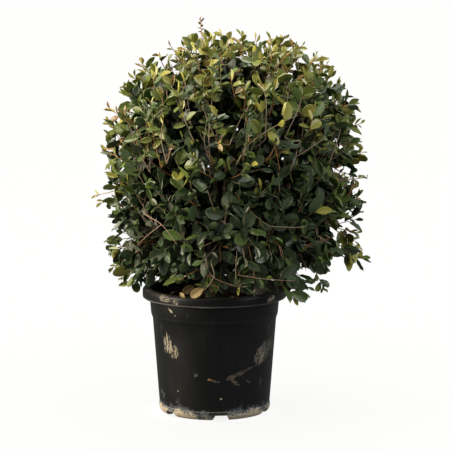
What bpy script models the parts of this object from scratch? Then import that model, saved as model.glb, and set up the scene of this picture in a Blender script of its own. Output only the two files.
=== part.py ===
"""A ball-clipped evergreen shrub in a round plastic nursery pot.

Metres, +Z up. The origin is the middle of the circle that the pot's feet stand on, and -Y is the front.
The pot is a turned shell with six feet, filled with compost. A short trunk stands on the compost and
runs up to the topmost mass of foliage, with ten boughs round it that each end at another. A mass has a
share of the crown to itself: a core, with twigs and leaves that stand out of it. Masses never touch.
"""

import math
import random

import bmesh
import bpy
from mathutils import Matrix, Vector

# ---- Clearances ----
GAP = 0.0003  # between two pieces that touch
MASS_GAP = 0.002  # between the spaces of two masses

# ---- Pot ----
POT_SIDES = 36
POT_HEIGHT = 0.297
POT_WALL = 0.0025
RIM_RADIUS = 0.170
RIM_SHOULDER = 0.007  # rounding of the rim's outer edge
LIP_FOOT = 0.2745  # height of the turned-down lip's lower edge
LIP_THICKNESS = 0.003
COLLAR_TOP_RADIUS = 0.1545
COLLAR_FOOT_RADIUS = 0.1500
COLLAR_FOOT = 0.2335
BODY_TOP_RADIUS = 0.1463
BODY_TOP = 0.2255
BODY_FOOT_RADIUS = 0.1308
FOOT_BAND = 0.020  # height of the thicker band round the foot
FOOT_BAND_STEP = 0.0008
FOOT_ROUNDING = 0.013
FOOT_RING_WIDTH = 0.0085  # of the flat ring that the pot stands on
FLOOR_UNDERSIDE = 0.0135
FLOOR_THICKNESS = 0.0025
NOTCHES = 6
NOTCH_HEIGHT = 0.0128
NOTCH_TOP_WIDTH = 0.028
NOTCH_FOOT_WIDTH = 0.040
NOTCH_TURN = math.radians(-83)  # the foremost notch, just right of the front
DRAIN_RADIUS = 0.0065
DRAIN_CIRCLE = 0.093

# ---- Compost ----
COMPOST_TOP = 0.268
COMPOST_FLAT = 0.034  # radius of the level patch that the trunk stands on
COMPOST_FALL = 0.010  # from that patch to the wall

# ---- Trunk and boughs ----
TRUNK_RADIUS = 0.0150
TRUNK_TIP_RADIUS = 0.0042
TRUNK_FLARE = 0.012  # added to the radius at the ground
TRUNK_FLARE_HEIGHT = 0.014
TRUNK_SWAY = 0.005
TRUNK_POINTS = 12
BOUGH_RADIUS = 0.0058
BOUGH_TIP_RADIUS = 0.0040
BOUGH_POINTS = 6
LOWEST_BOUGH = 0.335  # where the first bough of each ring leaves the trunk
LOWEST_UPPER_BOUGH = 0.415
BOUGH_STEP = 0.012
BOUGH_BEND_OUT = 0.42  # a bough's bend, as shares of the way out and up to its tip
BOUGH_BEND_UP = 0.60

# ---- Crown ----
CROWN_MIDDLE = Vector((0.0437, 0.0, 0.5956))
CROWN_RADIUS = 0.3026
CROWN_RISE = 0.3006  # from its middle to its top
CROWN_DROP = 0.3047  # from its middle to its underside
TOP_FULLNESS = 2.27  # 2 is an ellipsoid, and more is squarer
UNDERSIDE_FULLNESS = 5.33
CORE_LEVEL = 0.85  # the cores' surface, as a share of the way from the middle to the outline
CORE_ROUGHNESS = 0.045
CORE_UNDERSIDE = 1.06  # how much further down the cores reach than that
CORE_INSET = 0.006  # from a bough's tip to its core
RING_COUNT = 5  # masses in each ring round the crown
UPPER_TILT = math.radians(27)
LOWER_TILT = math.radians(-24)
RING_TURN = math.radians(-90)
# How far from the crown's axis, and how far above its middle, a bough enters its mass.
UPPER_ENTRY = (0.100, 0.030)
LOWER_ENTRY = (0.100, -0.100)
TOP_ENTRY = (0.0, 0.105)
POT_CLEARANCE = 0.004
SKIRT_FOOT = 0.2545  # the lowest that leaves hang outside the pot

# ---- Twigs and leaves ----
SEED = 11
TARGETS = 106  # evenly spread ends for shoots, over the whole sphere of directions
SHOOT_LEVEL = 0.895
SHOOT_LEVEL_SPREAD = 0.03
SHOOT_MARGIN = 0.006  # between a shoot's tip and its mass's walls
STEM_LEVEL = 0.50
STEM_RUN = 0.020  # how far a stem carries on the line of its bough
STEM_JOIN = 0.012
LIMBS = 4
LIMB_FORK = 0.6  # where the limbs leave the stem, as a share of it
LIMB_LEVEL = 0.60
LIMB_SPREAD = math.radians(17)
STEM_SIDES = 6
TWIG_SIDES = 3
LIMB_TWIG_RADIUS = 0.0036
SHOOT_RADIUS = 0.0030
SHOOT_TIP_RADIUS = 0.0013
LEAF_LENGTH = 0.056
LEAF_WIDTH = 0.036
LEAF_SHOULDER = 0.46  # where a leaf is widest, as a share of its length
LEAF_THICKNESS = 0.0016
LEAF_FOLD = 0.0050  # how far the sides stand above the midrib
LEAF_SINK = 0.0045  # how deep a leaf's root goes into its twig
LEAF_ANGLE = math.radians(52)  # between a leaf and its shoot
LEAF_TURN = math.radians(137.5)
LEAF_SLOPE = 0.8  # how much a leaf's face looks out along its shoot, against 1 upwards
LEAF_STATIONS = (0.84, 0.96)  # along a shoot
STRAY_LEAF_STATIONS = (0.70, 0.84, 0.97)
LEAF_LEVEL_LIMIT = 1.04
LEAF_MARGIN = 0.001
TURNS_TO_TRY = tuple(math.radians(turn) for turn in (0, 50, -50, 100, -100, 150))
# Shoots that outgrew the clipping: direction round the crown from +X, tilt, and how far their tips reach.
STRAY_SHOOTS = (
    (180, 75.6, 1.146),
    (181, -11.5, 1.112),
    (-2, -9.0, 1.062),
    (-4, -18.0, 1.050),
    (3, -35.6, 1.087),
    (178, 20.9, 1.055),
    (180, 44.8, 1.045),
    (-4, 24.8, 1.050),
    (5, 6.0, 1.020),
    (2, 49.0, 1.010),
    (-176, -33.0, 1.020),
    (-171, -42.0, 1.000),
    (-158, -52.0, 1.050),
    (-48, -55.0, 1.060),
    (62, 41.0, 1.060),
    (97, 6.0, 1.070),
    (123, -27.0, 1.075),
    (74, -46.0, 1.045),
    (-96, 14.0, 1.045),
)

BARK = "#6b5a4a"
LEAF_GREEN = "#3f5230"
COMPOST = "#2a1f18"
POT_BLACK = "#151616"


# ---- Scene, materials and small helpers ----


def clear_scene():
    for thing in list(bpy.data.objects):
        bpy.data.objects.remove(thing)


def new_collection(name, parent=None):
    made = bpy.data.collections.new(name)
    (parent or bpy.context.scene.collection).children.link(made)
    return made


def linear(part):
    """One sRGB channel, 0 to 1, as linear light."""
    return part / 12.92 if part <= 0.04045 else ((part + 0.055) / 1.055) ** 2.4


def new_material(name, colour, roughness):
    made = bpy.data.materials.new(name)
    made.use_nodes = True
    shader = made.node_tree.nodes["Principled BSDF"]
    channels = [linear(int(colour[at : at + 2], 16) / 255) for at in (1, 3, 5)]
    shader.inputs["Base Color"].default_value = (*channels, 1.0)
    shader.inputs["Roughness"].default_value = roughness
    shader.inputs["Metallic"].default_value = 0.0
    return made


def new_object(name, mesh, collection, material=None):
    made = bpy.data.objects.new(name, mesh)
    collection.objects.link(made)
    if material and not mesh.materials:
        mesh.materials.append(material)
    return made


def mesh_from(shape, name):
    mesh = bpy.data.meshes.new(name)
    shape.to_mesh(mesh)
    shape.free()
    return mesh


def as_cutter(thing):
    thing.hide_render = True
    thing.display_type = "WIRE"
    return thing


def evaluated_mesh(thing):
    """The object's mesh with its modifiers applied."""
    graph = bpy.context.evaluated_depsgraph_get()
    return bpy.data.meshes.new_from_object(thing.evaluated_get(graph), depsgraph=graph)


# ---- Pot and compost ----


def arc(middle, radius, start, end, steps):
    """Points (radius, height) along part of a circle, both ends included. Angles are in degrees."""
    angles = [math.radians(start + (end - start) * i / steps) for i in range(steps + 1)]
    return [(middle[0] + radius * math.cos(a), middle[1] + radius * math.sin(a)) for a in angles]


def pot_bore_profile():
    """The pot's inner wall from the floor to the collar's top, as (radius, height)."""
    floor = FLOOR_UNDERSIDE + FLOOR_THICKNESS
    return [
        (BODY_FOOT_RADIUS - POT_WALL, floor),
        (BODY_TOP_RADIUS - POT_WALL, BODY_TOP + POT_WALL),
        (COLLAR_FOOT_RADIUS - POT_WALL, COLLAR_FOOT + POT_WALL),
        (COLLAR_TOP_RADIUS - POT_WALL, POT_HEIGHT - 0.004),
    ]


def pot_profile():
    """Half of the pot's section, from the middle of its floor up the inside and down the outside."""
    bore = pot_bore_profile()
    bore_radius = bore[-1][0]
    inside_lip = RIM_RADIUS - LIP_THICKNESS
    crest = POT_HEIGHT
    inner_edge = arc((bore_radius + 0.003, crest - 0.003), 0.003, 180, 90, 1)
    shoulder = arc((RIM_RADIUS - RIM_SHOULDER, crest - RIM_SHOULDER), RIM_SHOULDER, 90, 0, 3)
    lip = [
        (RIM_RADIUS, LIP_FOOT),
        (inside_lip, LIP_FOOT),
        (inside_lip, crest - 2 * LIP_THICKNESS),
        (COLLAR_TOP_RADIUS, crest - 2 * LIP_THICKNESS),
    ]
    collar = [(COLLAR_FOOT_RADIUS, COLLAR_FOOT), (BODY_TOP_RADIUS, BODY_TOP)]
    band = [
        (BODY_FOOT_RADIUS, FOOT_BAND + FOOT_BAND_STEP),
        (BODY_FOOT_RADIUS + FOOT_BAND_STEP, FOOT_BAND),
    ]
    band_radius = BODY_FOOT_RADIUS + FOOT_BAND_STEP
    foot = arc((band_radius - FOOT_ROUNDING, FOOT_ROUNDING), FOOT_ROUNDING, 0, -90, 3)
    ring_inside = band_radius - FOOT_ROUNDING - FOOT_RING_WIDTH
    under = [(ring_inside, 0.0), (ring_inside - 0.002, FLOOR_UNDERSIDE), (0.0, FLOOR_UNDERSIDE)]
    start = [(0.0, FLOOR_UNDERSIDE + FLOOR_THICKNESS)]
    return start + bore[:-1] + inner_edge + shoulder + lip + collar + band + foot + under


def turned(name, profile, collection, material):
    """A solid of revolution about Z. Its profile starts and ends on the axis."""
    shape = bmesh.new()
    points = [shape.verts.new((radius, 0.0, height)) for radius, height in profile]
    for first, second in zip(points, points[1:]):
        shape.edges.new((first, second))
    made = new_object(name, mesh_from(shape, name), collection, material)
    screw = made.modifiers.new("turn", "SCREW")
    screw.steps = screw.render_steps = POT_SIDES
    screw.use_merge_vertices = True
    screw.merge_threshold = 0.0001
    return made


def notch_cutter(name, turn, collection):
    """A wedge-sided block that opens the foot ring at one place."""
    shape = bmesh.new()
    bmesh.ops.create_cube(shape, size=1.0)
    depth, height = 0.05, 2 * NOTCH_HEIGHT
    foot_width = 2 * NOTCH_FOOT_WIDTH - NOTCH_TOP_WIDTH
    for point in shape.verts:
        width = NOTCH_TOP_WIDTH if point.co.z > 0 else foot_width
        point.co = Vector((point.co.x * depth, point.co.y * width, point.co.z * height))
    made = new_object(name, mesh_from(shape, name), collection)
    made.matrix_world = Matrix.Rotation(turn, 4, "Z") @ Matrix.Translation((BODY_FOOT_RADIUS, 0, 0))
    return as_cutter(made)


def drain_cutter(name, turn, collection):
    """A pin that bores a round hole through the pot's floor."""
    shape = bmesh.new()
    bmesh.ops.create_cone(
        shape, cap_ends=True, segments=10, radius1=DRAIN_RADIUS, radius2=DRAIN_RADIUS, depth=0.02
    )
    made = new_object(name, mesh_from(shape, name), collection)
    made.matrix_world = Matrix.Rotation(turn, 4, "Z") @ Matrix.Translation(
        (DRAIN_CIRCLE, 0, FLOOR_UNDERSIDE)
    )
    return as_cutter(made)


def build_pot(collection, cutters, material):
    pot = turned("pot", pot_profile(), collection, material)
    openings = new_collection("pot_openings", cutters)
    for number in range(NOTCHES):
        turn = NOTCH_TURN + number * math.tau / NOTCHES
        notch_cutter(f"foot_notch_{number + 1}", turn, openings)
        drain_cutter(f"drain_hole_{number + 1}", turn, openings)
    cut = pot.modifiers.new("openings", "BOOLEAN")
    cut.operation = "DIFFERENCE"
    cut.solver = "EXACT"
    cut.operand_type = "COLLECTION"
    cut.collection = openings
    return pot


def build_compost(collection, material):
    """The compost, which fills the pot to below its rim and falls a little towards the wall."""
    bore = pot_bore_profile()
    (low_radius, low), (high_radius, high), (collar_radius, collar) = bore[:3]
    top_radius, top = bore[3]
    edge = COMPOST_TOP - COMPOST_FALL
    edge_radius = collar_radius + (top_radius - collar_radius) * (edge - collar) / (top - collar)
    profile = [
        (0.0, COMPOST_TOP),
        (COMPOST_FLAT, COMPOST_TOP),
        (0.6 * edge_radius, COMPOST_TOP - 0.35 * COMPOST_FALL),
        (edge_radius - GAP, edge),
        (collar_radius - GAP, collar + GAP),
        (high_radius - GAP, high + GAP),
        (low_radius - GAP, low + GAP),
        (0.0, low + GAP),
    ]
    return turned("compost", profile, collection, material)


# ---- Crown space ----


def crown_level(point):
    """0 at the middle of the crown, 1 on its clipped outline, and in proportion between."""
    x, y, z = point - CROWN_MIDDLE
    fullness = TOP_FULLNESS if z > 0 else UNDERSIDE_FULLNESS
    height = CROWN_RISE if z > 0 else CROWN_DROP
    across = (math.hypot(x, y) / CROWN_RADIUS) ** fullness
    return (across + abs(z / height) ** fullness) ** (1 / fullness)


def crown_point(direction, level):
    """The point in that direction from the crown's middle, at that level."""
    return CROWN_MIDDLE + direction * (level / crown_level(CROWN_MIDDLE + direction))


def pointing(turn, tilt):
    """A unit vector: turn is round Z from +X, and tilt is above the horizontal."""
    flat = math.cos(tilt)
    return Vector((flat * math.cos(turn), flat * math.sin(turn), math.sin(tilt)))


def even_directions(count):
    """Unit vectors spread evenly over a sphere, along a spiral from top to bottom."""
    golden = math.pi * (3 - math.sqrt(5))
    made = []
    for number in range(count):
        height = 1 - 2 * (number + 0.5) / count
        made.append(pointing(number * golden, math.asin(height)))
    return made


def clear_of_pot(point):
    """True above the pot, and outside it down to just under its rim."""
    outside = math.hypot(point.x, point.y) > RIM_RADIUS + POT_CLEARANCE
    above = point.z > POT_HEIGHT + POT_CLEARANCE
    return above or (outside and point.z > SKIRT_FOOT)


class Mass:
    """One mass of foliage: its name, its direction from the crown's middle and where its bough enters."""

    def __init__(self, name, turn, tilt, entry, bough_foot=None):
        reach, rise = entry
        self.name = name
        self.facing = pointing(turn, tilt)
        self.opening = pointing(turn, max(tilt, 0))  # the core's inner wall faces away from this
        self.entry = CROWN_MIDDLE + pointing(turn, 0) * reach + Vector((0, 0, rise))
        self.bough_foot = bough_foot
        self.walls = []

    def meet(self, others):
        """Sets the planes that part this mass's space from the others', as outward normals."""
        self.walls = [(other.facing - self.facing).normalized() for other in others]

    def holds(self, point, margin):
        """True if the point is in this mass's space, at least margin inside its walls."""
        offset = point - CROWN_MIDDLE
        room = MASS_GAP / 2 + margin
        within = all(offset.dot(wall) <= -room for wall in self.walls)
        return within and (point - self.entry).dot(self.opening) >= room


def plan_masses():
    masses = [Mass("foliage_top", 0.0, math.radians(90), TOP_ENTRY)]
    for name, offset, tilt, entry, lowest in (
        ("upper", 0.0, UPPER_TILT, UPPER_ENTRY, LOWEST_UPPER_BOUGH),
        ("lower", 0.5, LOWER_TILT, LOWER_ENTRY, LOWEST_BOUGH),
    ):
        for number in range(RING_COUNT):
            turn = RING_TURN + (number + offset) * math.tau / RING_COUNT
            foot = lowest + BOUGH_STEP * (2 * number % RING_COUNT)
            masses.append(Mass(f"foliage_{name}_{number + 1}", turn, tilt, entry, foot))
    for mass in masses:
        mass.meet([other for other in masses if other is not mass])
    return masses


# ---- Trunk and boughs ----


def trunk_path(top):
    """Points up the trunk's middle, closer together at the flare, and the radius at each."""
    foot = Vector((0, 0, COMPOST_TOP + GAP))
    points, radii = [], []
    for number in range(TRUNK_POINTS):
        share = (number / (TRUNK_POINTS - 1)) ** 2
        point = foot.lerp(top, share)
        point.y += TRUNK_SWAY * math.sin(math.tau * share)
        flare = TRUNK_FLARE * math.exp(-(point.z - foot.z) / TRUNK_FLARE_HEIGHT)
        points.append(point)
        radii.append(TRUNK_RADIUS + (TRUNK_TIP_RADIUS - TRUNK_RADIUS) * share**0.7 + flare)
    points[1].xy = points[0].xy
    return points, radii


def along_path(points, height):
    """The point at that height on a path that only rises."""
    for low, high in zip(points, points[1:]):
        if height <= high.z:
            return low.lerp(high, (height - low.z) / (high.z - low.z))
    return points[-1]


def bough_path(mass, trunk):
    """Points from the trunk's middle to the mass's entry: steeply up at first, then outwards."""
    start = along_path(trunk, mass.bough_foot)
    bend = start.lerp(mass.entry, BOUGH_BEND_OUT)
    bend.z = start.z + BOUGH_BEND_UP * (mass.entry.z - start.z)
    points = []
    for number in range(BOUGH_POINTS):
        share = number / (BOUGH_POINTS - 1)
        points.append(start.lerp(bend, share).lerp(bend.lerp(mass.entry, share), share))
    return points


def tube(name, points, radii, sides_level, collection, material=None):
    """A closed mesh along the points, round in section, with that radius at each point."""
    line = bpy.data.curves.new(name, "CURVE")
    line.dimensions = "3D"
    line.bevel_depth = 1.0
    line.bevel_resolution = sides_level
    line.use_fill_caps = True
    spline = line.splines.new("POLY")
    spline.points.add(len(points) - 1)
    for knot, point, radius in zip(spline.points, points, radii):
        knot.co = (*point, 1.0)
        knot.radius = radius
    guide = new_object(name + "_line", line, collection)
    bpy.context.view_layer.update()
    mesh = evaluated_mesh(guide)
    bpy.data.objects.remove(guide)
    shape = bmesh.new()
    shape.from_mesh(mesh)
    bmesh.ops.remove_doubles(shape, verts=shape.verts, dist=0.00001)
    bmesh.ops.recalc_face_normals(shape, faces=shape.faces)
    shape.to_mesh(mesh)
    shape.free()
    mesh.shade_smooth()
    mesh.set_sharp_from_angle(angle=math.radians(40))
    mesh.name = name
    return new_object(name, mesh, collection, material)


def build_limbs(masses, collection, cutters, material):
    """The trunk, which enters the first mass, and a bough for each other, cut to fit round the trunk."""
    trunk, radii = trunk_path(masses[0].entry)
    masses[0].heading = (trunk[-1] - trunk[-2]).normalized()
    tube("trunk", trunk, radii, 3, collection, material)
    fatter = [radius + GAP for radius in radii]
    clearance = as_cutter(tube("trunk_clearance", trunk, fatter, 3, cutters))
    shares = [number / (BOUGH_POINTS - 1) for number in range(BOUGH_POINTS)]
    taper = [BOUGH_RADIUS + (BOUGH_TIP_RADIUS - BOUGH_RADIUS) * share for share in shares]
    for mass in masses[1:]:
        points = bough_path(mass, trunk)
        mass.heading = (points[-1] - points[-2]).normalized()
        bough = tube(mass.name.replace("foliage", "bough"), points, taper, 2, collection, material)
        cut = bough.modifiers.new("round_the_trunk", "BOOLEAN")
        cut.operation = "DIFFERENCE"
        cut.solver = "EXACT"
        cut.object = clearance


# ---- Foliage ----


def core_mesh(mass, chance):
    """The mass's share of the crown's core: a bumpy inner crown, cut by the mass's walls and entry."""
    shape = bmesh.new()
    bmesh.ops.create_icosphere(shape, subdivisions=3, radius=1.0)
    for point in shape.verts:
        level = CORE_LEVEL * (1 + chance.uniform(-CORE_ROUGHNESS, CORE_ROUGHNESS))
        point.co = crown_point(point.co.normalized(), level)
        if point.co.z < CROWN_MIDDLE.z:
            point.co.z += (CORE_UNDERSIDE - 1) * (point.co.z - CROWN_MIDDLE.z)
    planes = [(CROWN_MIDDLE - wall * (MASS_GAP / 2), wall) for wall in mass.walls]
    planes.append((mass.entry + mass.opening * CORE_INSET, -mass.opening))
    for middle, outward in planes:
        everything = shape.verts[:] + shape.edges[:] + shape.faces[:]
        cut = bmesh.ops.bisect_plane(
            shape, geom=everything, plane_co=middle, plane_no=outward, clear_outer=True
        )
        rim = [part for part in cut["geom_cut"] if isinstance(part, bmesh.types.BMEdge)]
        if rim:
            bmesh.ops.holes_fill(shape, edges=rim)
    bmesh.ops.dissolve_degenerate(shape, dist=0.0005, edges=shape.edges)
    bmesh.ops.triangulate(shape, faces=shape.faces)
    bmesh.ops.recalc_face_normals(shape, faces=shape.faces)
    return mesh_from(shape, mass.name)


def leaf_mesh():
    """A diamond of eight faces, folded along its midrib, with its root at the origin and its tip on +X."""
    shape = bmesh.new()
    bmesh.ops.create_uvsphere(shape, u_segments=4, v_segments=2, radius=0.5)
    for point in shape.verts:
        x, y, z = point.co
        side = abs(y) > 0.4
        point.co.x = (LEAF_SHOULDER if side else x + 0.5) * LEAF_LENGTH
        point.co.y = y * LEAF_WIDTH
        point.co.z = z * LEAF_THICKNESS + (LEAF_FOLD if side else 0)
    return mesh_from(shape, "leaf")


def placed(start, along, facing):
    """A matrix with its origin at start, +X along, and +Z as near facing as that allows."""
    forward = along.normalized()
    across = facing.cross(forward).normalized()
    above = forward.cross(across)
    axes = Matrix((forward, across, above)).transposed()
    return Matrix.Translation(start) @ axes.to_4x4()


def add_twig(name, start, end, start_radius, end_radius, sides, collection):
    """A straight tapering twig with flat ends."""
    shape = bmesh.new()
    bmesh.ops.create_cone(
        shape,
        cap_ends=True,
        segments=sides,
        radius1=start_radius,
        radius2=end_radius,
        depth=(end - start).length,
    )
    made = new_object(name, mesh_from(shape, name), collection)
    turn = (end - start).to_track_quat("Z", "Y").to_matrix().to_4x4()
    made.matrix_world = Matrix.Translation(start.lerp(end, 0.5)) @ turn
    return made


def leaf_fits(mass, matrix, limit):
    """True if a leaf placed there keeps to its mass's space, its reach, and clear of the pot."""
    side = LEAF_WIDTH / 2
    corners = (
        Vector((LEAF_LENGTH, 0, 0)),
        Vector((LEAF_LENGTH * LEAF_SHOULDER, side, LEAF_FOLD)),
        Vector((LEAF_LENGTH * LEAF_SHOULDER, -side, LEAF_FOLD)),
        Vector((0, 0, 0)),
    )
    spots = [matrix @ corner for corner in corners]
    return all(
        mass.holds(spot, LEAF_MARGIN) and clear_of_pot(spot) and crown_level(spot) <= limit
        for spot in spots
    )


def leafy_shoot(mass, start, end, stations, limit, leaf, chance, collection):
    """A shoot from start to end with leaves up its outer part and one at its tip."""
    add_twig("shoot", start, end, SHOOT_RADIUS, SHOOT_TIP_RADIUS, TWIG_SIDES, collection)
    along = (end - start).normalized()
    upward = Vector((0, 0, 1))
    side = along.cross(upward if abs(along.z) < 0.95 else Vector((1, 0, 0))).normalized()
    turn = chance.uniform(0, math.tau)
    for station in stations:
        turn += LEAF_TURN
        root = start.lerp(end, station)
        for extra in TURNS_TO_TRY:
            away = Matrix.Rotation(turn + extra, 3, along) @ side
            heading = along * math.cos(LEAF_ANGLE) + away * math.sin(LEAF_ANGLE)
            facing = upward + along * LEAF_SLOPE
            matrix = placed(root - heading * LEAF_SINK, heading, facing)
            if leaf_fits(mass, matrix, limit):
                new_object("leaf", leaf, collection).matrix_world = matrix
                break
    matrix = placed(end - along * 2 * LEAF_SINK, along, upward + side)
    if leaf_fits(mass, matrix, limit):
        new_object("leaf", leaf, collection).matrix_world = matrix


def nearest(point, places):
    return min(places, key=lambda place: (place - point).length)


def skeleton(mass, collection):
    """The mass's stem and its limbs. Returns the points that shoots grow from."""
    stem_start = mass.entry + mass.heading * GAP
    stem_end = crown_point(mass.facing, STEM_LEVEL)
    kink = mass.entry + mass.heading * STEM_RUN
    add_twig("stem", stem_start, kink, BOUGH_TIP_RADIUS, BOUGH_TIP_RADIUS, STEM_SIDES, collection)
    base = mass.entry + mass.heading * STEM_JOIN
    add_twig("stem", base, stem_end, BOUGH_TIP_RADIUS, LIMB_TWIG_RADIUS, STEM_SIDES, collection)
    fork = base.lerp(stem_end, LIMB_FORK)
    side = mass.facing.orthogonal().normalized()
    ends = [stem_end]
    for number in range(LIMBS):
        round_stem = Matrix.Rotation(math.tau * (number + 0.5) / LIMBS, 3, mass.facing)
        spread = math.tan(LIMB_SPREAD)
        end = crown_point((mass.facing + (round_stem @ side) * spread).normalized(), LIMB_LEVEL)
        add_twig("limb", fork, end, LIMB_TWIG_RADIUS, SHOOT_RADIUS, TWIG_SIDES, collection)
        ends.append(end)
    return ends


def build_mass(mass, targets, strays, leaf, collection, material):
    """Fuses the mass's core, stem, twigs and leaves into one solid."""
    chance = random.Random(f"{SEED} {mass.name}")
    core = new_object(mass.name, core_mesh(mass, chance), collection, material)
    growth = new_collection(mass.name + "_growth")
    ends = skeleton(mass, growth)
    for direction in targets:
        level = SHOOT_LEVEL + chance.uniform(-SHOOT_LEVEL_SPREAD, SHOOT_LEVEL_SPREAD)
        tip = crown_point(direction, level)
        if mass.holds(tip, SHOOT_MARGIN) and clear_of_pot(tip):
            start = nearest(tip, ends)
            leafy_shoot(mass, start, tip, LEAF_STATIONS, LEAF_LEVEL_LIMIT, leaf, chance, growth)
    for direction, reach in strays:
        furthest = crown_point(direction, reach)
        if mass.holds(furthest, SHOOT_MARGIN):
            start = nearest(furthest, ends)
            tip = furthest - (furthest - start).normalized() * (LEAF_LENGTH - 2 * LEAF_SINK)
            limit = reach + 0.001
            leafy_shoot(mass, start, tip, STRAY_LEAF_STATIONS, limit, leaf, chance, growth)
    fuse = core.modifiers.new("fuse", "BOOLEAN")
    fuse.operation = "UNION"
    fuse.solver = "MANIFOLD"
    fuse.operand_type = "COLLECTION"
    fuse.collection = growth
    bpy.context.view_layer.update()
    fused = evaluated_mesh(core)
    core.modifiers.clear()
    core.data = fused
    for thing in list(growth.objects):
        bpy.data.objects.remove(thing)
    bpy.data.collections.remove(growth)
    return core


def build_foliage(masses, collection, material):
    leaf = leaf_mesh()
    directions = even_directions(TARGETS)
    strays = [
        (pointing(math.radians(turn), math.radians(tilt)), reach)
        for turn, tilt, reach in STRAY_SHOOTS
    ]
    for mass in masses:
        build_mass(mass, directions, strays, leaf, collection, material)


def main():
    clear_scene()
    plant = new_collection("ball_shrub_in_pot")
    cutters = new_collection("cutters")
    bark = new_material("bark", BARK, 0.85)
    foliage = new_material("foliage", LEAF_GREEN, 0.5)
    build_pot(plant, cutters, new_material("pot_plastic", POT_BLACK, 0.45))
    build_compost(plant, new_material("compost", COMPOST, 0.95))
    masses = plan_masses()
    build_limbs(masses, plant, cutters, bark)
    build_foliage(masses, plant, foliage)


main()
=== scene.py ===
"""The looks of a ball-clipped evergreen shrub in a round black nursery pot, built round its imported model.

Metres, +Z up. The origin is the middle of the circle that the pot's feet stand on, and -Y is the front.
Each mass of foliage grows by the rule of the part's source, carried on to finer twigs and to leaves of
the real size. The trunk and boughs get a relief of bark, and the pot its rounded edges, dust and mud.
"""

import math
import random
from collections import namedtuple

import bmesh
import bpy
import numpy as np
from mathutils import Matrix, Vector, noise


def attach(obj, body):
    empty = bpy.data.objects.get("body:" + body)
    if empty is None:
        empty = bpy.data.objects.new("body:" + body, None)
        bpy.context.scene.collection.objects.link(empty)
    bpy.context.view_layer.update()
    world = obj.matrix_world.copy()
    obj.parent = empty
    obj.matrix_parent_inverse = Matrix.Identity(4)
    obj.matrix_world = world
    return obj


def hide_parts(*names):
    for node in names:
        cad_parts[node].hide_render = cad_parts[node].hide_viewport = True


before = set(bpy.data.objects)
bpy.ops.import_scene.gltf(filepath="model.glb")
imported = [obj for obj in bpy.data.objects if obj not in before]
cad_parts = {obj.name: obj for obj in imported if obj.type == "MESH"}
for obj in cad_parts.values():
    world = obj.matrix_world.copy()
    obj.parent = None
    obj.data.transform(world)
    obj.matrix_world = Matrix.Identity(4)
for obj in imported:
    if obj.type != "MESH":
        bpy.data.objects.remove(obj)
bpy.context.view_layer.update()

UP = Vector((0, 0, 1))

# ---- Clearances and edges ----
GAP = 0.0003  # between two pieces that touch
MASS_GAP = 0.002  # between the spaces of two masses
SHARP_EDGE = math.radians(35)  # an edge between faces that turn by more isn't shaded smooth
SHARP_LEAF_EDGE = math.radians(60)
SHARP_LUMP_EDGE = math.radians(50)

# ---- Pot ----
POT_SIDES = 160
POT_HEIGHT = 0.297
POT_WALL = 0.0025
RIM_RADIUS = 0.170
RIM_SHOULDER = 0.007  # rounding of the rim's outer edge
RIM_INNER_EDGE = 0.003  # rounding of its inner edge
LIP_FOOT = 0.2745  # height of the turned-down lip's lower edge
LIP_THICKNESS = 0.003
LIP_ROUNDING = 0.0009
LIP_WAVE = 0.0009  # how far the lip's lower edge wanders up and down
LIP_WAVE_SPOTS = 13
LIP_SPOT = 0.008  # half the width of a spot that is moved up or down
LIP_WAVE_REACH = 0.024  # to each side of a spot
COLLAR_TOP_RADIUS = 0.1545
COLLAR_FOOT_RADIUS = 0.1500
COLLAR_FOOT = 0.2335
BODY_TOP_RADIUS = 0.1463
BODY_TOP = 0.2255
BODY_FOOT_RADIUS = 0.1308
FOOT_BAND = 0.020  # height of the thicker band round the foot
FOOT_BAND_STEP = 0.0008
FOOT_ROUNDING = 0.013
FOOT_RING_WIDTH = 0.0085
FLOOR_UNDERSIDE = 0.0135
FLOOR_THICKNESS = 0.0025
NOTCHES = 6
NOTCH_HEIGHT = 0.0128
NOTCH_TOP_WIDTH = 0.028
NOTCH_FOOT_WIDTH = 0.040
NOTCH_ROUNDING = 0.0022
NOTCH_TURN = math.radians(-83)  # the foremost notch, just right of the front
DRAIN_RADIUS = 0.0065
DRAIN_SIDES = 24
DRAIN_CIRCLE = 0.093

# ---- Compost ----
COMPOST_TOP = 0.268
COMPOST_FALL = 0.010  # from its middle to the wall
COMPOST_RADIUS = 0.149
CRUMBS = 900
CHIPS = 70
FALLEN_LEAVES = 16
STREWN_FROM = 0.031  # how near to the middle crumbs lie, clear of the trunk's flare
STREWN_TO = 0.985  # how near to the wall, as a share of the compost's radius
STREWN_REACH = 0.012  # of the longest crumb or chip, kept clear of the wall
STREWN_TILT = 0.35  # how far they lie off level, about, in radians

# ---- Trunk and boughs ----
TRUNK_RADIUS = 0.0150
TRUNK_TIP_RADIUS = 0.0042
TRUNK_FLARE = 0.012  # added to the radius at the ground
TRUNK_FLARE_HEIGHT = 0.014
TRUNK_SWAY = 0.005
TRUNK_FOOT_TRIM = 0.002  # taken off its radius at the ground, for the relief of its bark
TRUNK_POINTS = 12
BOUGH_RADIUS = 0.0058
BOUGH_TIP_RADIUS = 0.0040
BOUGH_POINTS = 6
BOUGH_COLLAR = 0.0022  # added to a bough's radius where it leaves the trunk
LOWEST_BOUGH = 0.335
LOWEST_UPPER_BOUGH = 0.415
BOUGH_STEP = 0.012
BOUGH_BEND_OUT = 0.42  # a bough's bend, as shares of the way out and up to its tip
BOUGH_BEND_UP = 0.60
BARK_PLATE = 0.005  # width of one ridge of bark, and its length is five times that
BARK_RELIEF = 0.0011
LIMB_STEPS = 9  # of a limb's surface between two of its points

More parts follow.
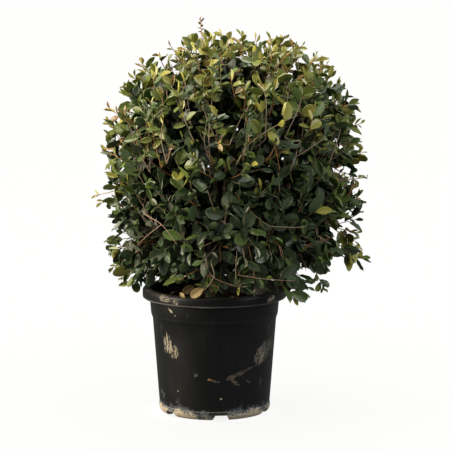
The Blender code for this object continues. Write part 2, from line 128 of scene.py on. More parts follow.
# ---- Crown ----
CROWN_MIDDLE = Vector((0.0437, 0.0, 0.5956))
CROWN_RADIUS = 0.3026
CROWN_RISE = 0.3006  # from its middle to its top
CROWN_DROP = 0.3047  # from its middle to its underside
TOP_FULLNESS = 2.27  # 2 is an ellipsoid, and more is squarer
UNDERSIDE_FULLNESS = 5.33
RING_COUNT = 5  # masses in each ring round the crown
UPPER_TILT = math.radians(27)
LOWER_TILT = math.radians(-24)
RING_TURN = math.radians(-90)
# How far from the crown's axis, and how far above its middle, a bough enters its mass.
UPPER_ENTRY = (0.100, 0.030)
LOWER_ENTRY = (0.100, -0.100)
TOP_ENTRY = (0.0, 0.105)
POT_CLEARANCE = 0.004
SKIRT_FOOT = 0.2545  # the lowest that leaves hang outside the pot
# Where leaves stay higher over the rim, so the compost shows: from and to round the pot, in degrees
# from +X, and how high.
OPEN_RIM = ((-165, -116, 0.018), (-116, -99, 0.036), (-99, -40, 0.008))

# ---- Twigs ----
SEED = 11
STEM_LEVEL = 0.50
STEM_JOIN = 0.012
LIMBS = 4
LIMB_FORK = 0.6  # where the limbs leave the stem, as a share of it
LIMB_LEVEL = 0.60
LIMB_SPREAD = math.radians(17)
LIMB_SAG = 0.006
BRANCHES = 300  # evenly spread over the whole sphere of directions
BRANCH_LEVEL = 0.72
BRANCH_LEVEL_SPREAD = 0.05
BRANCH_SAG = (0.02, 0.14)  # from and to, as shares of its length
BRANCH_FEET = (0.55, 0.8, 1.0)  # where shoots leave a branch, as shares of it
SHOOTS = 960
SHOOT_LEVEL = 0.905
SHOOT_LEVEL_SPREAD = 0.04
SHOOT_LEVEL_LIMIT = 0.985
SHOOT_SHARE = 0.92  # of the directions that get a shoot
HOLLOW_THINNING = 2  # how much sparser they are in a hollow, against its depth
LOBE_WIDTH = 0.24  # of the tufts that the crown's surface rises and falls in, as a share of its radius
LOBE_RELIEF = 0.12
LOBE_THINNING = 1.5  # how much sparser the hollows between tufts are
TUFT_WIDTH = 0.11  # of single tufts, the same way
TUFT_RELIEF = 0.05
TUFT_THINNING = 1.1
GAP_LEVEL = 0.77  # how far in the gaps between tufts go
GAP_DEPTHS = (-0.175, -0.35)  # of the tufts' relief, below which there are gaps: at the middle and the top
UNDERSIDE_GAPS = 0.20  # how much that rises towards the crown's foot
UNDERSIDE_FROM = 0.4  # how steeply down from the crown's middle that starts, 1 being straight down
SHOOT_RUNS = (0.065, 0.125)  # from where a shoot leaves its branch to its tip, about
SHOOT_LEAN_OUT = 0.45  # against 1 upwards
LOW_SHOOT_LEAN_OUT = 0.7  # more than that at the crown's foot, where they lean down as well
LOW_SHOOT_LEAN_DOWN = 1.15
SHOOT_WANDER = 0.10  # how far its middle strays to either side, as a share of its length
SHOOT_RISE = 0.10  # how much a shoot curves upwards, as a share of its length
SHOOT_DROOP = 0.10  # how much one at the crown's foot curves down
TWIG_SIDES = 5
YOUNG_BARK, OLD_BARK = range(2)
STEM_RADII = (0.0040, 0.0030)
LIMB_RADII = (0.0031, 0.0024)
BRANCH_RADII = (0.0023, 0.0015)
SHOOT_RADIUS = 0.0009  # at its foot, and as much again for each 100 mm of its length
SHOOT_THICKENING = 0.0095
SHOOT_TIP_RADIUS = 0.0006
OLD_SHOOT = 0.09  # a longer shoot has old bark
OLD_SHOOT_SHARE = 0.3  # of the others that have it too
LEAST_BARE = 0.12  # share of a shoot without leaves, at its foot

# ---- Leaves ----
LEAF_TURN = math.radians(137.5)
LEAF_LENGTH = 0.040
LEAF_LENGTH_SPREAD = 0.25
LEAF_LENGTH_LIMITS = (0.008, 0.050)
LEAF_BREADTHS = (0.88, 1.14)  # against its form's own
LEAF_SIZES = (1.10, 0.95, 0.84)  # at the crown's foot, at its middle and at its top
LEAF_STEP = 0.0092  # between two leaves along a shoot
LEAFY_RUNS = (0.050, 0.080)  # how much of a shoot has leaves, from its tip
LEAF_CROWDING = 0.70  # under 1, a shoot's leaves are closer together towards its tip
LEAF_ANGLES = (math.radians(72), math.radians(26))  # between a leaf and its shoot, at its foot and tip
LEAF_ANGLE_SPREAD = math.radians(9)
LEAF_SLACK = 0.30  # how much the lower leaves of a shoot hang
LEAF_SLACK_SPREAD = (0.1, 1.4)  # from and to, as shares of that
LOW_LEAF_SLACK = 0.22  # how much more all of them hang at the crown's foot
LEAF_FACES_UP = 0.35  # how strongly leaves face up, and as much again at the crown's foot
LEAF_SHAKE = (0.55, 0.55, 0.4)  # how unevenly leaves face, along X, Y and Z
FOOT_LEAF_SIZE = 0.85  # of the first leaves of a shoot, against the others
YOUNG_LEAF_SIZE = 0.78  # of the first young leaf of a shoot, the same way
YOUNG_LEAF_STEP = 0.14  # how much smaller each after it is
SECOND_TRY_SIZE = 0.7  # of a leaf that has no room at its full size
LEAF_LEVEL_LIMIT = 1.05
INNER_LEAVES_PER_BRANCH = 22
INNER_LEAVES_PER_LIMB = 26
INNER_LEAF_SIZES = (0.8, 1.15)
TIP_LEAVES = 2  # young ones at the end of a shoot
YOUNG_FORM_SHARE = 0.7  # of those that are narrow and folded
YOUNG_TINT_SHARE = 0.55  # of those in the sun that have a colour of their own
LEAF_SINK = 0.0006

# Hollows of the crown, where its leaves stand back: turn round the crown from +X, tilt, how wide and
# how deep, in degrees and as a share of the way to the crown's middle.
HOLLOWS = (
    (-78, 50, 9, 0.16),
    (-95, 2, 13, 0.15),
    (-58, 13, 11, 0.17),
    (-126, 6, 9, 0.12),
    (-74, -13, 8, 0.15),
    (-56, -27, 8, 0.13),
    (-117, -43, 10, 0.13),
    (-46, -50, 9, 0.16),
    (-30, 30, 9, 0.12),
    (-150, 40, 8, 0.10),
    (20, 5, 12, 0.13),
    (55, 20, 10, 0.14),
    (95, -12, 12, 0.15),
    (140, 25, 10, 0.13),
    (160, -15, 11, 0.13),
    (75, 52, 10, 0.14),
    (-14, -49, 11, 0.15),
    (8, -50, 11, 0.15),
    (-30, -58, 9, 0.13),
    (178, -27, 8, 0.10),
    (-170, -31, 8, 0.10),
    (179, 38, 7, 0.08),
    (3, 14, 6, 0.07),
    (-90, 13, 10, 0.15),
    (-70, 25, 10, 0.14),
    (-112, 17, 9, 0.13),
    (-84, 33, 8, 0.12),
    (-60, 0, 9, 0.13),
    (-103, -13, 9, 0.11),
    (-86, -28, 8, 0.11),
    (-38, -8, 8, 0.12),
    (-34, 14, 7, 0.10),
    (-109, -44, 9, 0.18),
)

# Openings right through the crown's edge, where the sky shows: turn, tilt and share of the way out of a
# place on each, then its radius.
SKY_OPENINGS = (
    (180, -35.9, 0.860, 0.011),
    (180, -38.1, 0.885, 0.008),
    (0, -4.5, 0.792, 0.009),
    (0, -4.0, 0.893, 0.007),
    (0, -42.8, 0.925, 0.012),
    (0, -45.5, 0.915, 0.009),
    (0, -55.8, 0.888, 0.010),
    (0, -57.3, 0.811, 0.007),
    (180, -13.0, 0.988, 0.012),
    (180, -8.0, 1.003, 0.010),
    (180, -28.0, 0.965, 0.010),
    (0, -24.1, 0.968, 0.009),
    (0, -48.7, 0.649, 0.007),
    (180, 51.5, 0.911, 0.007),
)

# Twigs that show from outside, bare below and leafy above: the points that they pass, each as turn round
# the crown, tilt and share of the way out, then the radius at the foot, the share that is bare, the bark.
SHOWING_TWIGS = (
    (((-103, -2.6, 0.76), (-103, 18.5, 0.84), (-102, 28.3, 0.90)), 0.0021, 0.62, "old"),
    (
        ((-89, 3.7, 0.82), (-82, 15.0, 0.87), (-68, 22.6, 0.94), (-57, 26.0, 0.96)),
        0.0022, 0.40, "old",
    ),
    (((-82, 15.0, 0.87), (-83, 23.0, 0.91), (-84, 27.5, 0.95)), 0.0014, 0.15, "young"),
    (((-92, 15.5, 0.80), (-87, 25.7, 0.86), (-82, 32.0, 0.93)), 0.0020, 0.55, "old"),
    (((-60, 18.4, 0.80), (-53, 29.8, 0.90), (-50, 35.0, 0.94)), 0.0019, 0.65, "old"),
    (((-65, 1.3, 0.82), (-68, 8.0, 0.88), (-71, 14.5, 0.94)), 0.0014, 0.45, "young"),
    (((-55, 7.7, 0.82), (-49, 11.5, 0.90), (-42, 15.5, 0.97)), 0.0018, 0.70, "old"),
    (((-127, 4.3, 0.83), (-128, 16.2, 0.90), (-127, 24.0, 0.93)), 0.0022, 0.60, "old"),
    (((-130, 2.0, 0.84), (-132, 14.0, 0.90), (-133, 20.0, 0.93)), 0.0014, 0.50, "young"),
    (((-137, -1.0, 0.86), (-142, 11.6, 0.95), (-143, 16.0, 0.97)), 0.0018, 0.70, "old"),
    (((-72, 18.0, 0.80), (-71, 33.7, 0.88), (-72, 41.0, 0.93)), 0.0018, 0.60, "old"),
    (((-73, -22.8, 0.92), (-62, -22.6, 0.96), (-55, -22.4, 0.97)), 0.0012, 0.85, "old"),
    (
        ((-104, -30.0, 0.93), (-101, -40.0, 0.95), (-90, -43.5, 0.97), (-84, -43.5, 0.98)),
        0.0010, 0.35, "dead",
    ),
    (((-88, -40.0, 0.95), (-74, -40.5, 0.98), (-60, -41.0, 1.0)), 0.0009, 0.3, "dead"),
    (((-82, -33.0, 0.86), (-80, -40.0, 0.92), (-79, -47.0, 0.97)), 0.0012, 0.1, "young"),
    (((-66, -33.0, 0.86), (-64, -40.0, 0.93), (-63, -47.0, 0.97)), 0.0012, 0.1, "young"),
    (((-30, 2.0, 0.84), (-28, 14.0, 0.92), (-27, 20.0, 0.96)), 0.0018, 0.60, "old"),
    (((18, -2.0, 0.84), (20, 10.0, 0.91), (21, 18.0, 0.96)), 0.0018, 0.60, "old"),
    (((58, 12.0, 0.82), (54, 24.0, 0.90), (52, 31.0, 0.95)), 0.0020, 0.55, "old"),
    (((98, -16.0, 0.82), (94, -5.0, 0.90), (92, 2.0, 0.95)), 0.0019, 0.55, "old"),
    (((138, 18.0, 0.84), (141, 28.0, 0.90), (142, 35.0, 0.95)), 0.0019, 0.55, "old"),
    (((163, -20.0, 0.84), (158, -8.0, 0.91), (156, -1.0, 0.96)), 0.0019, 0.55, "old"),
    (
        ((-140, -13.0, 0.86), (-134, -17.5, 0.97), (-122, -20.4, 1.01), (-115, -27.5, 1.0)),
        0.0010, 1, "dead",
    ),
    (((-122, -20.4, 1.01), (-128, -24.0, 1.03), (-136, -29.0, 1.01)), 0.0008, 1, "dead"),
    (
        ((-101, -36.4, 0.92), (-99, -39.4, 0.97), (-106, -49.0, 0.95), (-113, -57.3, 0.922)),
        0.0010, 1, "old",
    ),
)
SIGHT_LINE = Vector((0.0, -0.99, 0.141))  # from such a twig to someone in front of the pot
VIEWER = Vector((0.03, -5.9, 1.3))  # that person's eye
SHOWING_ROOM = 0.0085  # kept free of leaves to each side of its bare part
SHOWING_FRONT = 0.002  # how far before the twig that room starts
SHOWING_JOIN = 0.003  # nearer than this to an earlier one, a twig grows from it
SHOWING_LIFT = 0.1  # of its leaves in the run of greens
SHOWING_LEAF_SIZE = 0.95

FRONT_SHADE = 0.18  # how far the leaves in the middle of the front are down the run of greens

STRAY_LEAFY_RUN = 0.075
STRAY_TIP = 0.008  # from the end of its wood to the furthest that its leaves reach
STRAY_RADII = (0.0015, 0.0007)
STRAY_WANDER = 0.06  # how far its middle strays to either side, as a share of its length
STRAY_SAG = 0.05  # how far that sags, the same way
STRAY_TIP_LEAVES = 3
LEAF_OVERREACH = 0.02  # how far over its own reach a stray shoot's leaves may go
STRAY_GREEN = 0.72  # where their leaves are in the run of greens
# Stray leaves are darker at the crown's foot as painted shade.
STRAY_GREEN_DROP = 0.32  # how much lower that is at the crown's foot
STRAY_GREEN_SPREAD = 0.12

# Shoots that outgrew the clipping: direction round the crown from +X, tilt, how far their tips reach,
# the share of them that is bare and the size of their leaves.
STRAY_SHOOTS = (
    (180, 77.3, 1.160, 0.45, 0.32),
    (180, 47.8, 1.040, 0.30, 0.80),
    (180, 56.1, 1.010, 0.30, 0.85),
    (180, 34.0, 1.010, 0.30, 0.85),
    (180, 23.0, 1.040, 0.20, 0.95),
    (180, 17.5, 1.045, 0.20, 0.80),
    (181, 5.5, 1.020, 0.20, 0.80),
    (180, -14.0, 1.105, 0.50, 0.75),
    (179, -18.0, 1.050, 0.30, 0.95),
    (180, -35.9, 1.000, 0.30, 1.10),
    (181, -41.5, 1.050, 0.40, 0.70),
    (180, -46.5, 1.035, 0.30, 0.90),
    (-177, -50.8, 1.050, 0.30, 0.90),
    (180, 84.0, 1.030, 0.25, 0.95),
    (180, 71.0, 1.015, 0.25, 0.95),
    (181, 61.5, 1.025, 0.25, 0.95),
    (-1, 48.5, 1.015, 0.25, 0.95),
    (1, 4.5, 1.035, 0.25, 0.90),
    (0, 58.6, 1.045, 0.25, 0.95),
    (0, 52.3, 1.040, 0.25, 0.95),
    (1, 45.5, 1.035, 0.25, 0.95),
    (0, 24.7, 1.050, 0.25, 0.80),
    (0, 16.4, 1.045, 0.25, 0.85),
    (-2, 8.9, 1.015, 0.25, 0.80),
    (0, -6.6, 1.075, 0.50, 0.60),
    (0, -17.6, 1.040, 0.30, 0.75),
    (-1, -29.5, 1.010, 0.25, 1.05),
    (1, -33.5, 1.000, 0.25, 1.10),
    (0, -36.4, 1.100, 0.25, 1.05),
    (-2, -35.0, 1.030, 0.25, 1.05),
    (-3, -54.8, 1.050, 0.45, 0.60),
    (-22, -57.0, 0.990, 0.30, 1.10),
    (-48, -55.0, 1.050, 0.25, 1.20),
    (-39, -55.5, 1.040, 0.25, 1.15),
    (-97, -49.5, 0.960, 0.25, 1.10),
    (-101, -50.5, 0.935, 0.25, 1.15),
    (-88, -50.0, 0.960, 0.25, 1.00),
    (-78, -50.0, 0.960, 0.25, 1.00),
    (-119, -43.0, 0.975, 0.25, 1.15),
    (62, 41.0, 1.060, 0.35, 0.80),
    (97, 6.0, 1.070, 0.35, 0.80),
    (123, -27.0, 1.075, 0.35, 0.90),
    (74, -46.0, 1.045, 0.30, 1.00),
    (-96, 14.0, 1.010, 0.35, 0.85),
    (35, 62.0, 1.060, 0.30, 0.80),
)
BRONZED_STRAYS = ((180, 77.3), (180, 23.0))  # the ones whose leaves are still brown: direction, tilt
# Low ones that stand in the light, and how far up the run of greens their leaves are moved.
LIT_STRAYS = {
    (180, -14.0): 0.30,
    (179, -18.0): 0.35,
    (-1, -29.5): 0.30,
    (1, -33.5): 0.30,
    (-2, -35.0): 0.35,
    (0, -36.4): 0.45,
}

# Leaf tints: the shade's, painted shade for leaves inside the crown, then the run of six greens from the
# crown's foot to its sunny top, darker low down partly as painted shade, then the odd ones. Each is the
# blade's upper face, its midrib and margin, the margin paler as a painted highlight, and its underside.
LEAF_TINTS = {
    "shade_green": ("#1d2718", "#46502f", "#424d36"),
    "deep_green": ("#2d3a20", "#66714e", "#6a765a"),
    "blue_green": ("#3a4a2f", "#747f5c", "#737f63"),
    "middle_green": ("#46572b", "#83865a", "#7f8862"),
    "leaf_green": ("#58652a", "#929255", "#888f62"),
    "olive": ("#676e30", "#a09a5c", "#939463"),
    "light_olive": ("#807f36", "#b0a566", "#a19d6b"),
    "fresh_green": ("#5d7236", "#9aa35a", "#8c9a5c"),
    "young": ("#949146", "#c0b06f", "#aba66b"),
    "bronze": ("#6f5635", "#93714a", "#8a7555"),
    "straw": ("#a69163", "#b9a272", "#ae986e"),
    "dead_brown": ("#573f28", "#6f543a", "#695038"),
    "browned": ("#4d3f22", "#6b5836", "#64543a"),
    "blushed": ("#85703f", "#a9905f", "#9a8555"),
    "scorched": ("#3f5036", "#c3b48f", "#8d8a68"),
}
# A tint's number is its place above.
SHADE_GREEN = 0
FIRST_GREEN, GREENS = 1, 6  # where the run of greens starts, and how many there are in it
MIDDLE_GREEN = 3
FRESH_GREEN, YOUNG, BRONZE, STRAW, DEAD_BROWN, BROWNED, BLUSHED, SCORCHED = range(7, 15)
DRY_TINTS = (STRAW, DEAD_BROWN, BRONZE)
DRIED_SIZE = 0.65  # of a dead leaf that still hangs on, against a living one
BLADE, RIB, UNDERSIDE = range(3)  # a leaf's faces, and the order of its tint's materials
ROLES = 3  # how many those are
# The run of greens falls towards the crown's foot partly as painted shade under its overhang.
TOP_GREEN = 0.80  # where the crown's topmost shoots are in the run of greens
GREEN_CURVE = 1.45  # over 1, it falls off faster below the top than at the foot
GREEN_SPREAD = 0.20  # from shoot to shoot
TINT_SPREAD = 0.16  # from leaf to leaf
# Leaves inside the crown are painted darker as shade: most take the shade's tint, the others a lower green.
INNER_GREEN_DROP = 0.25  # of the leaves inside the crown
SUNNY_GREEN = 0.45  # above it, shoots end in leaves of a young colour
ODD_SHARE = 0.008  # of the leaves that are dead and still hang on
FRESH_SHARE = 0.055
BLUSHED_SHARE = 0.12  # for each step of green above the middle
BLUSHED_TIPS = 0.25  # of the young leaves at the tips of sunny shoots
SCORCHED_SHARE = 0.03  # of leaves low down, which the wind and frost have dried at one side
SHADED_SHARE = 0.75  # of the leaves inside the crown


# ---- Materials ----


def linear(part):
    """One sRGB channel, 0 to 1, as linear light."""
    return part / 12.92 if part <= 0.04045 else ((part + 0.055) / 1.055) ** 2.4


def colour(code):
    return (*(linear(int(code[at : at + 2], 16) / 255) for at in (1, 3, 5)), 1.0)


def feed(tree, made, inputs):
    """Sets a node's inputs, by name or in order, to values, or links them from nodes or outputs."""
    pairs = inputs.items() if isinstance(inputs, dict) else enumerate(inputs)
    for name, value in pairs:
        if isinstance(value, bpy.types.Node):
            value = next(output for output in value.outputs if not output.is_unavailable)
        if isinstance(value, bpy.types.NodeSocket):
            tree.links.new(value, made.inputs[name])
        else:
            made.inputs[name].default_value = value


def node(tree, kind, inputs=(), **settings):
    """Adds a shader node with its settings and inputs.

    In order, a Map Range takes the value, the two ends that it comes from and the two it goes to.
    """
    made = tree.nodes.new("ShaderNode" + kind)
    for name, value in settings.items():
        setattr(made, name, value)
    feed(tree, made, inputs)
    return made


def new_material(name, base, roughness, ior=1.45):
    """A plain material to add patterns to. Returns it with its nodes, its shader and the place on it."""
    made = bpy.data.materials.new(name)
    made.use_nodes = True
    tree = made.node_tree
    shader = tree.nodes["Principled BSDF"]
    feed(tree, shader, {"Base Color": colour(base), "Roughness": roughness, "IOR": ior})
    return made, tree, shader, node(tree, "TexCoord").outputs["Object"]


def fine_skin(name, base, roughness, width, depth, strength, detail=2.0, ior=1.45):
    """A material of one colour with a fine uneven relief, of that width and depth."""
    made, tree, shader, place = new_material(name, base, roughness, ior)
    grain = node(tree, "TexNoise", {"Vector": place, "Scale": 1 / width, "Detail": detail})
    bump = node(tree, "Bump", {"Height": grain, "Strength": strength, "Distance": depth})
    feed(tree, shader, {"Normal": bump})
    return made


def leaf_materials():
    """Three for each tint, in the order of LEAF_TINTS and of a leaf's faces.

    Living leaf under its wax: half gloss, with the slight quilting between the side veins. Its midrib
    and margin are duller, smoother and paler: the midrib in its own colour, the margin as a painted
    highlight where light catches its edge. Its underside is matt.
    """
    made = []
    for name, (blade, rib, underside) in LEAF_TINTS.items():
        gloss = 0.62 if name in ("straw", "dead_brown", "browned") else 0.36
        made.append(fine_skin(f"leaf_{name}", blade, gloss, 0.005, 0.0013, 0.55))
        made.append(fine_skin(f"leaf_{name}_rib", rib, 0.50, 0.004, 0.0004, 0.55))
        made.append(fine_skin(f"leaf_{name}_underside", underside, 0.66, 0.004, 0.0014, 0.55))
    return made


def twig_bark(name, base, fissure_width, roughness):
    """Thin smooth bark with fine lenticels, which show as a slight roughness."""
    return fine_skin(name, base, roughness, fissure_width, 0.0006, 0.6, detail=3.0, ior=1.5)


def old_bark():
    """Grey-brown bark of the trunk and boughs: ridges with darker furrows and grey lichen."""
    made, tree, shader, place = new_material("fissured_bark", "#6b5a4a", 0.85, ior=1.5)
    upright = node(tree, "Mapping", {"Vector": place, "Scale": (1.0, 1.0, 0.2)})
    ridges = node(
        tree, "TexNoise", {"Vector": upright, "Scale": 1 / BARK_PLATE, "Detail": 5.0, "Roughness": 0.6}
    )
    look = node(tree, "ValToRGB", (ridges,))
    for stop, at, tone in zip(look.color_ramp.elements, (0.34, 0.62), ("#2e251d", "#7b6a57")):
        stop.position, stop.color = at, colour(tone)
    patches = node(tree, "TexNoise", {"Vector": place, "Scale": 1 / 0.014, "Detail": 4.0})
    lichen = node(tree, "MapRange", (patches, 0.56, 0.66))
    look = node(tree, "Mix", {"Factor": lichen, "A": look, "B": colour("#8f8f7c")}, data_type="RGBA")
    # The trunk is darker towards its foot over the compost: painted shade under the crown.
    height = node(tree, "SeparateXYZ", (place,)).outputs["Z"]
    painted_foot_shade = node(tree, "MapRange", (height, COMPOST_TOP + 0.09, COMPOST_TOP + 0.03, 0.0, 0.85))
    look = node(tree, "Mix", {"Factor": painted_foot_shade, "A": look, "B": colour("#17110c")}, data_type="RGBA")
    bump = node(tree, "Bump", {"Height": ridges, "Strength": 0.8, "Distance": 0.002})
    feed(tree, shader, {"Base Color": look, "Normal": bump})
    return made


def peat():
    """Damp peat compost: near black, crumbly, with a few brown fibres."""
    made, tree, shader, place = new_material("damp_peat", "#1e1510", 0.93, ior=1.4)
    crumbs = node(
        tree, "TexNoise", {"Vector": place, "Scale": 1 / 0.0045, "Detail": 6.0, "Roughness": 0.7}
    )
    look = node(tree, "ValToRGB", (crumbs,))
    for stop, at, tone in zip(look.color_ramp.elements, (0.36, 0.70), ("#0e0a07", "#3d2c20")):
        stop.position, stop.color = at, colour(tone)
    bump = node(tree, "Bump", {"Height": crumbs, "Strength": 1.0, "Distance": 0.004})
    feed(tree, shader, {"Base Color": look, "Normal": bump})
    return made


MOULDED_BLACK = "#07090a"
DRIED_MUD = "#a69c8b"
RUST_MUD = "#8f6238"
BROWN_SMEAR = "#6e6152"
GREY_DUST = "#7d7c76"
# Marks on the pot: turn from the front in degrees, height, half width, half height, tilt in degrees,
# grain width and length, how much is covered, how thickly, and colour.
POT_MARKS = (
    (-48.5, 0.1780, 0.0170, 0.0500, 6, 0.0017, 0.0220, 0.490, 1.0, DRIED_MUD),
    (-42.5, 0.1600, 0.0300, 0.0340, 16, 0.0016, 0.0150, 0.485, 1.0, DRIED_MUD),
    (-52.5, 0.1720, 0.0190, 0.0380, 2, 0.0015, 0.0120, 0.505, 0.9, DRIED_MUD),
    (50.0, 0.1480, 0.0340, 0.0460, -24, 0.0016, 0.0120, 0.505, 0.7, DRIED_MUD),
    (58.0, 0.1590, 0.0400, 0.0480, -12, 0.0016, 0.0110, 0.510, 0.6, GREY_DUST),
    (68.0, 0.1700, 0.0280, 0.0360, 8, 0.0016, 0.0110, 0.505, 0.55, GREY_DUST),
    (-4.6, 0.0995, 0.0080, 0.0046, 6, 0.0020, 0.0060, 0.70, 0.9, RUST_MUD),
    (0.5, 0.0960, 0.0220, 0.0050, -14, 0.0060, 0.0024, 0.58, 0.7, BROWN_SMEAR),
    (16.5, 0.1030, 0.0240, 0.0120, 20, 0.0160, 0.0018, 0.58, 0.7, BROWN_SMEAR),
    (25.0, 0.1110, 0.0360, 0.0100, 20, 0.0180, 0.0018, 0.58, 0.6, BROWN_SMEAR),
    (36.0, 0.1215, 0.0300, 0.0060, 20, 0.0160, 0.0020, 0.57, 0.5, BROWN_SMEAR),
    (21.0, 0.0905, 0.0220, 0.0085, -32, 0.0070, 0.0017, 0.58, 0.8, BROWN_SMEAR),
    (6.7, 0.0530, 0.0044, 0.0036, 0, 0.0020, 0.0020, 0.74, 1.0, DRIED_MUD),
    (-39.4, 0.0660, 0.0030, 0.0026, 0, 0.0020, 0.0020, 0.66, 0.9, DRIED_MUD),
    (-18.0, 0.1090, 0.0100, 0.0090, 60, 0.0040, 0.0018, 0.54, 0.7, GREY_DUST),
    (36.0, 0.0920, 0.0130, 0.0110, 0, 0.0060, 0.0060, 0.50, 0.5, GREY_DUST),
    (-41.6, 0.2575, 0.0110, 0.0040, -36, 0.0100, 0.0030, 0.74, 1.0, DRIED_MUD),
    (-44.0, 0.2650, 0.0050, 0.0060, -30, 0.0030, 0.0020, 0.54, 0.9, DRIED_MUD),
    (-37.0, 0.2480, 0.0030, 0.0026, 0, 0.0020, 0.0020, 0.64, 0.9, DRIED_MUD),
    (-43.0, 0.2890, 0.0280, 0.0150, -14, 0.0018, 0.0030, 0.52, 0.85, DRIED_MUD),
    (-46.0, 0.2860, 0.0120, 0.0080, -20, 0.0050, 0.0030, 0.58, 0.7, GREY_DUST),
    (-32.0, 0.2830, 0.0130, 0.0130, -20, 0.0018, 0.0030, 0.53, 0.85, DRIED_MUD),
    (51.0, 0.2850, 0.0230, 0.0110, 24, 0.0030, 0.0034, 0.58, 0.9, DRIED_MUD),
    (-58.0, 0.2060, 0.0034, 0.0400, 2, 0.0018, 0.0500, 0.50, 0.5, GREY_DUST),
    (62.0, 0.2050, 0.0060, 0.0340, -3, 0.0020, 0.0500, 0.50, 0.5, GREY_DUST),
    (-24.0, 0.2480, 0.0030, 0.0160, 0, 0.0016, 0.0300, 0.50, 0.4, GREY_DUST),
    (-66.0, 0.0500, 0.0200, 0.0260, 0, 0.0040, 0.0120, 0.46, 0.6, GREY_DUST),
    (50.0, 0.0700, 0.0400, 0.0200, -8, 0.0100, 0.0040, 0.40, 0.4, GREY_DUST),
    (140.0, 0.1500, 0.0260, 0.0240, 12, 0.0035, 0.0120, 0.56, 0.8, DRIED_MUD),
    (-120.0, 0.1100, 0.0300, 0.0120, -22, 0.0080, 0.0040, 0.54, 0.7, BROWN_SMEAR),
    (172.0, 0.2860, 0.0200, 0.0100, 0, 0.0030, 0.0040, 0.58, 0.9, DRIED_MUD),
    (100.0, 0.0800, 0.0260, 0.0160, -35, 0.0090, 0.0030, 0.52, 0.6, GREY_DUST),
)
WALL_RADIUS = 0.140  # of the wall that the marks are laid out on


